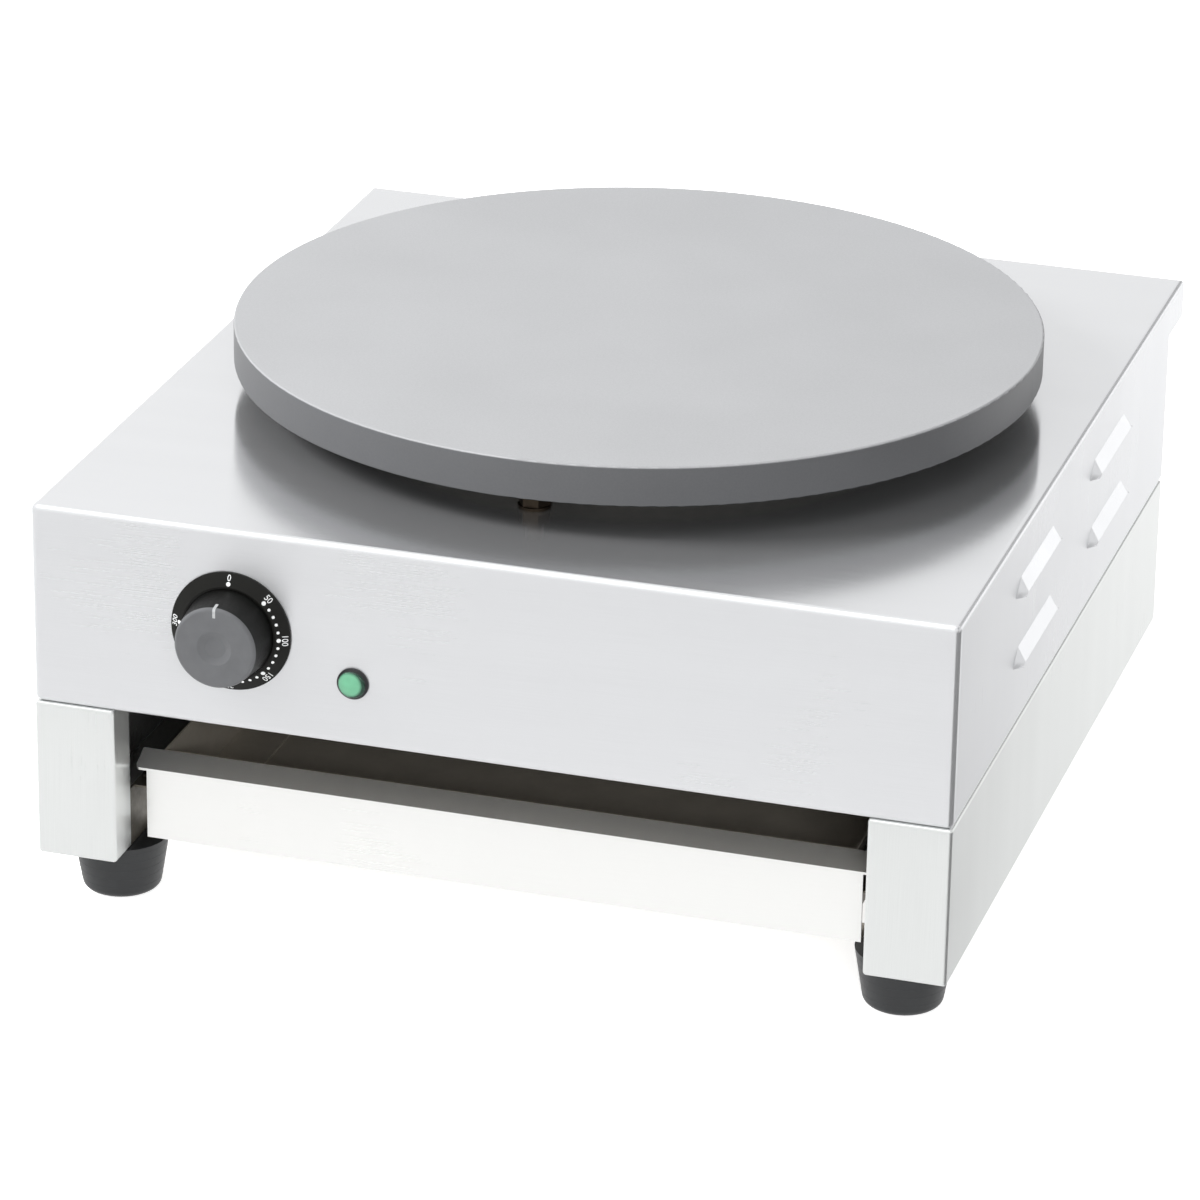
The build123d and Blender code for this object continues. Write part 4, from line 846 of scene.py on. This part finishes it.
class CREPE_OT_threads(bpy.types.Operator):
    """Rolled threads on the plate's studs and on the bonding stud"""

    bl_idname = "crepe.threads"
    bl_label = "Cut threads"

    # Half height of a ridge as a share of its pitch, and a stud's plain end
    RIDGE = 0.3
    PLAIN_END = 0.5 * MM
    M8_RADIUS = 4 * MM
    M6_RADIUS = 3 * MM

    def execute(self, context):
        threads = context.scene.crepe_threads
        nuts_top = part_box("levelling_nuts")[1].z
        middles = [(low + high) / 2 for low, high in solids_of("levelling_nuts")]
        nut_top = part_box("bonding_nut")[1].y
        bonding = centre("bonding_stud")
        rows = (
            (
                "stud_threads",
                "plate_studs",
                [(middle.x, middle.y, nuts_top) for middle in middles],
                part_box("cooking_plate")[0].z - nuts_top,
                threads.stud_pitch,
                self.M8_RADIUS,
                (0, 0, 1),
            ),
            (
                "bonding_thread",
                "bonding_stud",
                [(bonding.x, nut_top, bonding.z)],
                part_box("bonding_stud")[1].y - nut_top - self.PLAIN_END,
                threads.bonding_pitch,
                self.M6_RADIUS,
                (0, 1, 0),
            ),
        )
        for name, stud, spots, reach, pitch, radius, aim in rows:
            values = {
                "Turns": reach / pitch,
                "Radius": radius,
                "Length": reach,
                "Depth": self.RIDGE * pitch,
                "Aim": aim,
            }
            tree = bpy.data.node_groups.get("thread") or self.wind(values)
            ridges = grow(name, tree, spots, values, finish_of(stud))
            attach(ridges, "body")
        return {"FINISHED"}

    def wind(self, values):
        tree, sizes = new_tree("thread", values)
        turns = {"Resolution": 20, "Rotations": sizes["Turns"], "Height": sizes["Length"]}
        radii = {"Start Radius": sizes["Radius"], "End Radius": sizes["Radius"]}
        helix = add(tree, "GeometryNodeCurveSpiral", {**turns, **radii})
        ridge = {"Resolution": 6, "Radius": sizes["Depth"]}
        crest = add(tree, "GeometryNodeCurvePrimitiveCircle", ridge)
        swept = {"Curve": helix, "Profile Curve": crest, "Fill Caps": True}
        end_tree(tree, add(tree, "GeometryNodeCurveToMesh", swept), sizes, sizes["Aim"])
        return tree


class CREPE_OT_dial(bpy.types.Operator):
    """Black dial plate with its printed temperature scale"""

    bl_idname = "crepe.dial"
    bl_label = "Print dial"

    MARK_STEP = 50
    # Digits are this share of the font's size
    DIGIT_SHARE = 0.72
    INK_HEIGHT = 0.04 * MM
    # The flank falls from the ring round the knob to the thin outer edge
    RING_RADIUS = 23.4 * MM
    EDGE_HEIGHT = 1.0 * MM

    def execute(self, context):
        dial = context.scene.crepe_dial
        dress(matt_plastic("black_dial_plastic", "#131311", 0.4, 0.4 * MM), "dial_bezel")
        ink = plain_finish("white_printing_ink", "#E4E6E6", 0.0, 0.5, 0.6, 0.3 * MM)
        # The pointer's inlay is rubbed grey by fingers
        dress(plain_finish("rubbed_pointer_inlay", "#A6A8A9", 0.0, 0.45, 0.6, 0.3 * MM), "knob_pointer")
        low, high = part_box("dial_bezel")
        outer = (high.x - low.x) / 2
        slope = (high.y - self.EDGE_HEIGHT - low.y) / (outer - self.RING_RADIUS)

        def flank_y(radius):
            return low.y + (radius - self.RING_RADIUS) * slope - self.INK_HEIGHT

        self.print_numbers(context, dial, flank_y, ink)
        self.print_dots(dial, flank_y, slope, ink)
        return {"FINISHED"}

    def print_numbers(self, context, dial, flank_y, ink):
        middle = centre("dial_bezel")
        numbers = bmesh.new()
        for i, value in enumerate(range(0, dial.top_mark + 1, self.MARK_STEP)):
            angle = dial.first_angle + (i - 1) * dial.mark_angle if i else 0
            text = bpy.data.curves.new(f"number_{value}", "FONT")
            text.body = str(value)
            text.align_x = "CENTER"
            text.size = dial.number_height / self.DIGIT_SHARE
            text.resolution_u = 4
            holder = bpy.data.objects.new(text.name, text)
            context.scene.collection.objects.link(holder)
            flat = bpy.data.meshes.new_from_object(holder.evaluated_get(context.evaluated_depsgraph_get()))
            bpy.data.objects.remove(holder)
            around = Vector((math.cos(angle), 0, -math.sin(angle)))
            outward = Vector((math.sin(angle), 0, math.cos(angle)))
            for vertex in flat.vertices:
                spot = around * vertex.co.x + outward * (dial.number_circle + vertex.co.y)
                vertex.co = (middle.x + spot.x, flank_y(spot.length), middle.z + spot.z)
            numbers.from_mesh(flat)
            bpy.data.meshes.remove(flat)
        bmesh.ops.remove_doubles(numbers, verts=numbers.verts, dist=SAME_POINT)
        for face in numbers.faces:
            if face.normal.y > 0:
                face.normal_flip()
        printed = piece_from("dial_numbers", numbers, ink)
        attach(printed, "body")

    def print_dots(self, dial, flank_y, slope, ink):
        dots_a_number = dial.dots_between + 1
        values = {
            "First angle": dial.first_angle,
            "Step angle": dial.mark_angle / dots_a_number,
            "Dots a number": dots_a_number,
            "Dot count": (dial.top_mark // self.MARK_STEP - 1) * dots_a_number + 2,
            "Circle": dial.dot_circle,
            "Dot radius": dial.dot_radius,
            "Large dot": dial.large_dot * dial.dot_radius,
            "Tilt": slope,
        }
        tree, sizes = new_tree("dial_dots", values)
        index = add(tree, "GeometryNodeInputIndex")
        step = add(tree, "ShaderNodeMath", {0: index, 1: 1.0}, operation="SUBTRACT")
        turned = {0: step, 1: sizes["Step angle"], 2: sizes["First angle"]}
        angle = add(tree, "ShaderNodeMath", turned, operation="MULTIPLY_ADD")
        past_zero = add(tree, "ShaderNodeMath", {0: index, 1: 0.5}, operation="GREATER_THAN")
        angle = add(tree, "ShaderNodeMath", {0: angle, 1: past_zero}, operation="MULTIPLY")
        placed, outward = on_circle(tree, sizes["Dot count"], angle, sizes["Circle"], "X", "Z")
        # Each dot lies on the slanted flank, and the first of each group is the number's own
        leaned = add(tree, "ShaderNodeVectorMath", {0: outward, 3: sizes["Tilt"]}, operation="SCALE")
        facing = add(tree, "ShaderNodeVectorMath", {0: leaned, 1: (0, -1, 0)}, operation="ADD")
        turn = add(tree, "FunctionNodeAlignRotationToVector", {"Vector": facing}, axis="Z")
        in_group = add(tree, "ShaderNodeMath", {0: step, 1: sizes["Dots a number"]}, operation="MODULO")
        is_large = add(tree, "ShaderNodeMath", {0: in_group, 1: 0.5}, operation="LESS_THAN")
        radii = {"Factor": is_large, "A": sizes["Dot radius"], "B": sizes["Large dot"]}
        radius = add(tree, "ShaderNodeMix", radii)
        disc = add(tree, "GeometryNodeMeshCircle", {"Vertices": 20, "Radius": 1.0}, fill_type="NGON")
        copies = {"Points": placed, "Instance": disc, "Rotation": turn, "Scale": radius}
        end_tree(tree, add(tree, "GeometryNodeInstanceOnPoints", copies), sizes)
        middle = centre("dial_bezel")
        spots = [(middle.x, flank_y(dial.dot_circle), middle.z)]
        dots = grow("dial_dots", tree, spots, values, ink)
        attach(dots, "body")


class CREPE_OT_knob(bpy.types.Operator):
    """Thermostat knob"""

    bl_idname = "crepe.knob"
    bl_label = "Finish knob"

    def execute(self, context):
        dress(thermostat_knob(context.scene.crepe_knob), "knob_grip")
        return {"FINISHED"}


class CREPE_OT_lamp(bpy.types.Operator):
    """Pilot lamp: hollow green lens over a bright dish"""

    bl_idname = "crepe.lamp"
    bl_label = "Build pilot lamp"

    DOME_STEPS = 8
    DISH_GAP = 0.05 * MM
    # Shares of the dish's radius at its floor's edge and at its lip
    FLOOR_EDGE = 0.25
    LIP_EDGE = 0.95

    def execute(self, context):
        lamp = context.scene.crepe_lamp
        low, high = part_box("lamp_lens")
        middle = (low + high) / 2
        radius = (high.x - low.x) / 2
        crown, back_y = low.y, high.y
        rim_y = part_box("lamp_body")[0].y
        edge = radius + lamp.lip
        turns = [math.pi / 2 * i / self.DOME_STEPS for i in range(self.DOME_STEPS + 1)]
        dome = [(edge * math.sin(t), crown + (rim_y - crown) * (1 - math.cos(t))) for t in turns]
        bore = radius - lamp.wall
        inner = [(r * bore / edge, y + lamp.wall) for r, y in reversed(dome)]
        profile = dome + [(radius, rim_y), (radius, back_y), (bore, back_y)] + inner
        lens = lathe("pilot_lens", middle, profile, green_acrylic(lamp, middle, radius))
        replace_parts(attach(lens, "body"), "lamp_lens")
        # Stamped aluminium dish behind the lens: bright and finely dimpled
        bright = plain_finish("bright_aluminium_dish", "#E6E8E6", 1.0, 0.25, 0.4, 0.7 * MM)
        inside = bore - self.DISH_GAP
        floor_y = back_y - lamp.dish_depth
        lip_y = rim_y + lamp.dish_setback
        dish = [(0, floor_y), (self.FLOOR_EDGE * inside, floor_y), (self.LIP_EDGE * inside, lip_y)]
        dish += [(inside, lip_y), (inside, back_y), (0, back_y)]
        reflector = lathe("pilot_dish", middle, dish, bright)
        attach(reflector, "body")
        return {"FINISHED"}


class CREPE_OT_feet(bpy.types.Operator):
    """Rubber feet with fine rings"""

    bl_idname = "crepe.feet"
    bl_label = "Build feet"

    # Share of a ring's radius that lies below the foot's surface
    RIB_SUNK = 0.6

    def execute(self, context):
        feet = context.scene.crepe_feet
        names = [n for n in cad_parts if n.startswith("foot_") and n.endswith(("left", "right"))]
        rubber = matt_plastic("black_moulded_rubber", "#1B1D1F", 0.38, 0.5 * MM, gloss=0.6)
        dress(rubber, *names)
        low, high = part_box(names[0])
        taper = ((high.x - low.x) / 2 - feet.bottom_radius) / (high.z - low.z)
        last = high.z - feet.last_rib
        radius_at_floor = feet.bottom_radius - self.RIB_SUNK * feet.rib_radius
        values = {
            "Ring count": feet.rib_count,
            "Low": feet.first_rib,
            "High": last,
            "Low radius": radius_at_floor + taper * feet.first_rib,
            "High radius": radius_at_floor + taper * last,
            "Rib radius": feet.rib_radius,
        }
        tree, sizes = new_tree("foot_rings", values)
        top_ring = add(tree, "ShaderNodeMath", {0: sizes["Ring count"], 1: 1.0}, operation="SUBTRACT")
        index = add(tree, "GeometryNodeInputIndex")
        risen = add(tree, "ShaderNodeMath", {0: index, 1: top_ring}, operation="DIVIDE")
        height = add(tree, "ShaderNodeMix", {"Factor": risen, "A": sizes["Low"], "B": sizes["High"]})
        radii = {"Factor": risen, "A": sizes["Low radius"], "B": sizes["High radius"]}
        radius = add(tree, "ShaderNodeMix", radii)
        points = add(tree, "GeometryNodePoints", {"Count": sizes["Ring count"]})
        spot = add(tree, "ShaderNodeCombineXYZ", {"Z": height})
        placed = add(tree, "GeometryNodeSetPosition", {"Geometry": points, "Position": spot})
        flat = add(tree, "ShaderNodeCombineXYZ", {"X": radius, "Y": radius, "Z": 1.0})
        circle = add(tree, "GeometryNodeCurvePrimitiveCircle", {"Resolution": 72, "Radius": 1.0})
        copies = {"Points": placed, "Instance": circle, "Scale": flat}
        circles = add(tree, "GeometryNodeInstanceOnPoints", copies)
        real = add(tree, "GeometryNodeRealizeInstances", {"Geometry": circles})
        rib = add(tree, "GeometryNodeCurvePrimitiveCircle", {"Resolution": 8, "Radius": sizes["Rib radius"]})
        swept = add(tree, "GeometryNodeCurveToMesh", {"Curve": real, "Profile Curve": rib})
        end_tree(tree, swept, sizes)
        spots = [(centre(n).x, centre(n).y, 0) for n in names]
        ribs = grow("foot_rings", tree, spots, values, rubber)
        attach(ribs, "body")
        return {"FINISHED"}


class CREPE_OT_rear(bpy.types.Operator):
    """Cross-recessed panel screws and the ribbed dome nut of the cable gland"""

    bl_idname = "crepe.rear"
    bl_label = "Build rear fittings"

    OUTWARD = (0, 1, 0)
    # Shares of a screw's head: its crown's radius, and the cross's length and depth
    CROWN = 0.78
    RECESS_LENGTH = 1.15
    RECESS_DEPTH = 1.4

    def execute(self, context):
        rear = context.scene.crepe_rear
        self.build_screws(rear)
        self.build_gland_ribs(rear)
        return {"FINISHED"}

    def build_screws(self, rear):
        boxes = solids_of("rear_screws")
        low, high = boxes[0]
        head_radius = (high.x - low.x) / 2
        shank_length = high.y - low.y - rear.head_height
        bar_length = self.RECESS_LENGTH * head_radius
        bar_depth = self.RECESS_DEPTH * rear.head_height
        values = {
            "Head radius": head_radius,
            "Crown radius": self.CROWN * head_radius,
            "Head height": rear.head_height,
            "Shank radius": rear.shank_radius,
            "Shank length": shank_length,
            "Shank start": (0, 0, -shank_length),
            "Recess": (bar_length, rear.recess_width, bar_depth),
            "Recess across": (rear.recess_width, bar_length, bar_depth),
            "Recess at": (0, 0, rear.head_height),
        }
        tree, sizes = new_tree("panel_screw", values)
        radii = {"Radius Top": sizes["Crown radius"], "Radius Bottom": sizes["Head radius"]}
        cone = {"Vertices": 32, "Depth": sizes["Head height"], **radii}
        head = add(tree, "GeometryNodeMeshCone", cone)
        radii = {"Radius Top": sizes["Shank radius"], "Radius Bottom": sizes["Shank radius"]}
        cone = {"Vertices": 24, "Depth": sizes["Shank length"], **radii}
        shank = add(tree, "GeometryNodeMeshCone", cone)
        for name in ("Recess", "Recess across"):
            bar = add(tree, "GeometryNodeMeshCube", {"Size": sizes[name]})
            bar = add(tree, "GeometryNodeTransform", {"Geometry": bar, "Translation": sizes["Recess at"]})
            cut = {"Mesh 1": head, "Mesh 2": bar}
            head = add(tree, "GeometryNodeMeshBoolean", cut, operation="DIFFERENCE")
        shank = add(tree, "GeometryNodeTransform", {"Geometry": shank, "Translation": sizes["Shank start"]})
        screw = add(tree, "GeometryNodeJoinGeometry", {"Geometry": head})
        tree.links.new(shank.outputs[0], screw.inputs[0])
        end_tree(tree, screw, sizes, self.OUTWARD)
        spots = [((a.x + b.x) / 2, b.y - rear.head_height, (a.z + b.z) / 2) for a, b in boxes]
        screws = grow("panel_screws", tree, spots, values, finish_of("rear_screws"))
        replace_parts(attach(screws, "body"), "rear_screws")

    def build_gland_ribs(self, rear):
        values = {
            "Rib count": rear.rib_count,
            "Circle": rear.nut_radius,
            "Rib radius": rear.rib_radius,
            "Rib length": rear.rib_length,
        }
        tree, sizes = new_tree("gland_ribs", values)
        index = add(tree, "GeometryNodeInputIndex")
        step = add(tree, "ShaderNodeMath", {0: 2 * math.pi, 1: sizes["Rib count"]}, operation="DIVIDE")
        angle = add(tree, "ShaderNodeMath", {0: index, 1: step}, operation="MULTIPLY")
        placed, _ = on_circle(tree, sizes["Rib count"], angle, sizes["Circle"], "Y", "X")
        bar = {"Vertices": 12, "Radius": sizes["Rib radius"], "Depth": sizes["Rib length"]}
        rib = add(tree, "GeometryNodeMeshCylinder", bar)
        ring = add(tree, "GeometryNodeInstanceOnPoints", {"Points": placed, "Instance": rib})
        end_tree(tree, ring, sizes, self.OUTWARD)
        middle = centre("cable_gland")
        # The nut's straight part lies between its hexagon and its taper
        straight_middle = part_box("cable_gland")[1].y - rear.nut_from_end
        spots = [(middle.x, straight_middle, middle.z)]
        ribs = grow("gland_ribs", tree, spots, values, finish_of("cable_gland"))
        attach(ribs, "body")


# ---- Panel and registration

OPERATORS = (
    CREPE_OT_camera,
    CREPE_OT_studio,
    CREPE_OT_sheet,
    CREPE_OT_plate,
    CREPE_OT_inner,
    CREPE_OT_threads,
    CREPE_OT_dial,
    CREPE_OT_knob,
    CREPE_OT_lamp,
    CREPE_OT_feet,
    CREPE_OT_rear,
)

SETTINGS = {
    "crepe_studio": CrepeStudio,
    "crepe_steel": CrepeSteel,
    "crepe_plate": CrepePlate,
    "crepe_threads": CrepeThreads,
    "crepe_dial": CrepeDial,
    "crepe_knob": CrepeKnob,
    "crepe_lamp": CrepeLamp,
    "crepe_feet": CrepeFeet,
    "crepe_rear": CrepeRear,
}


class CREPE_PT_panel(bpy.types.Panel):
    bl_idname = "CREPE_PT_panel"
    bl_label = "Crepe maker"
    bl_space_type = "VIEW_3D"
    bl_region_type = "UI"
    bl_category = "Crepe maker"

    def draw(self, context):
        for operator in OPERATORS:
            self.layout.operator(operator.bl_idname)
        for name, kind in SETTINGS.items():
            box = self.layout.box()
            for prop in kind.__annotations__:
                box.prop(getattr(context.scene, name), prop)


def register():
    for kind in (*SETTINGS.values(), *OPERATORS, CREPE_PT_panel):
        bpy.utils.register_class(kind)
    for name, kind in SETTINGS.items():
        setattr(bpy.types.Scene, name, bpy.props.PointerProperty(type=kind))


def unregister():
    for name in SETTINGS:
        delattr(bpy.types.Scene, name)
    for kind in reversed((*SETTINGS.values(), *OPERATORS, CREPE_PT_panel)):
        bpy.utils.unregister_class(kind)


def main():
    register()
    for operator in OPERATORS:
        group, name = operator.bl_idname.split(".")
        getattr(getattr(bpy.ops, group), name)()


if __name__ == "__main__":
    main()
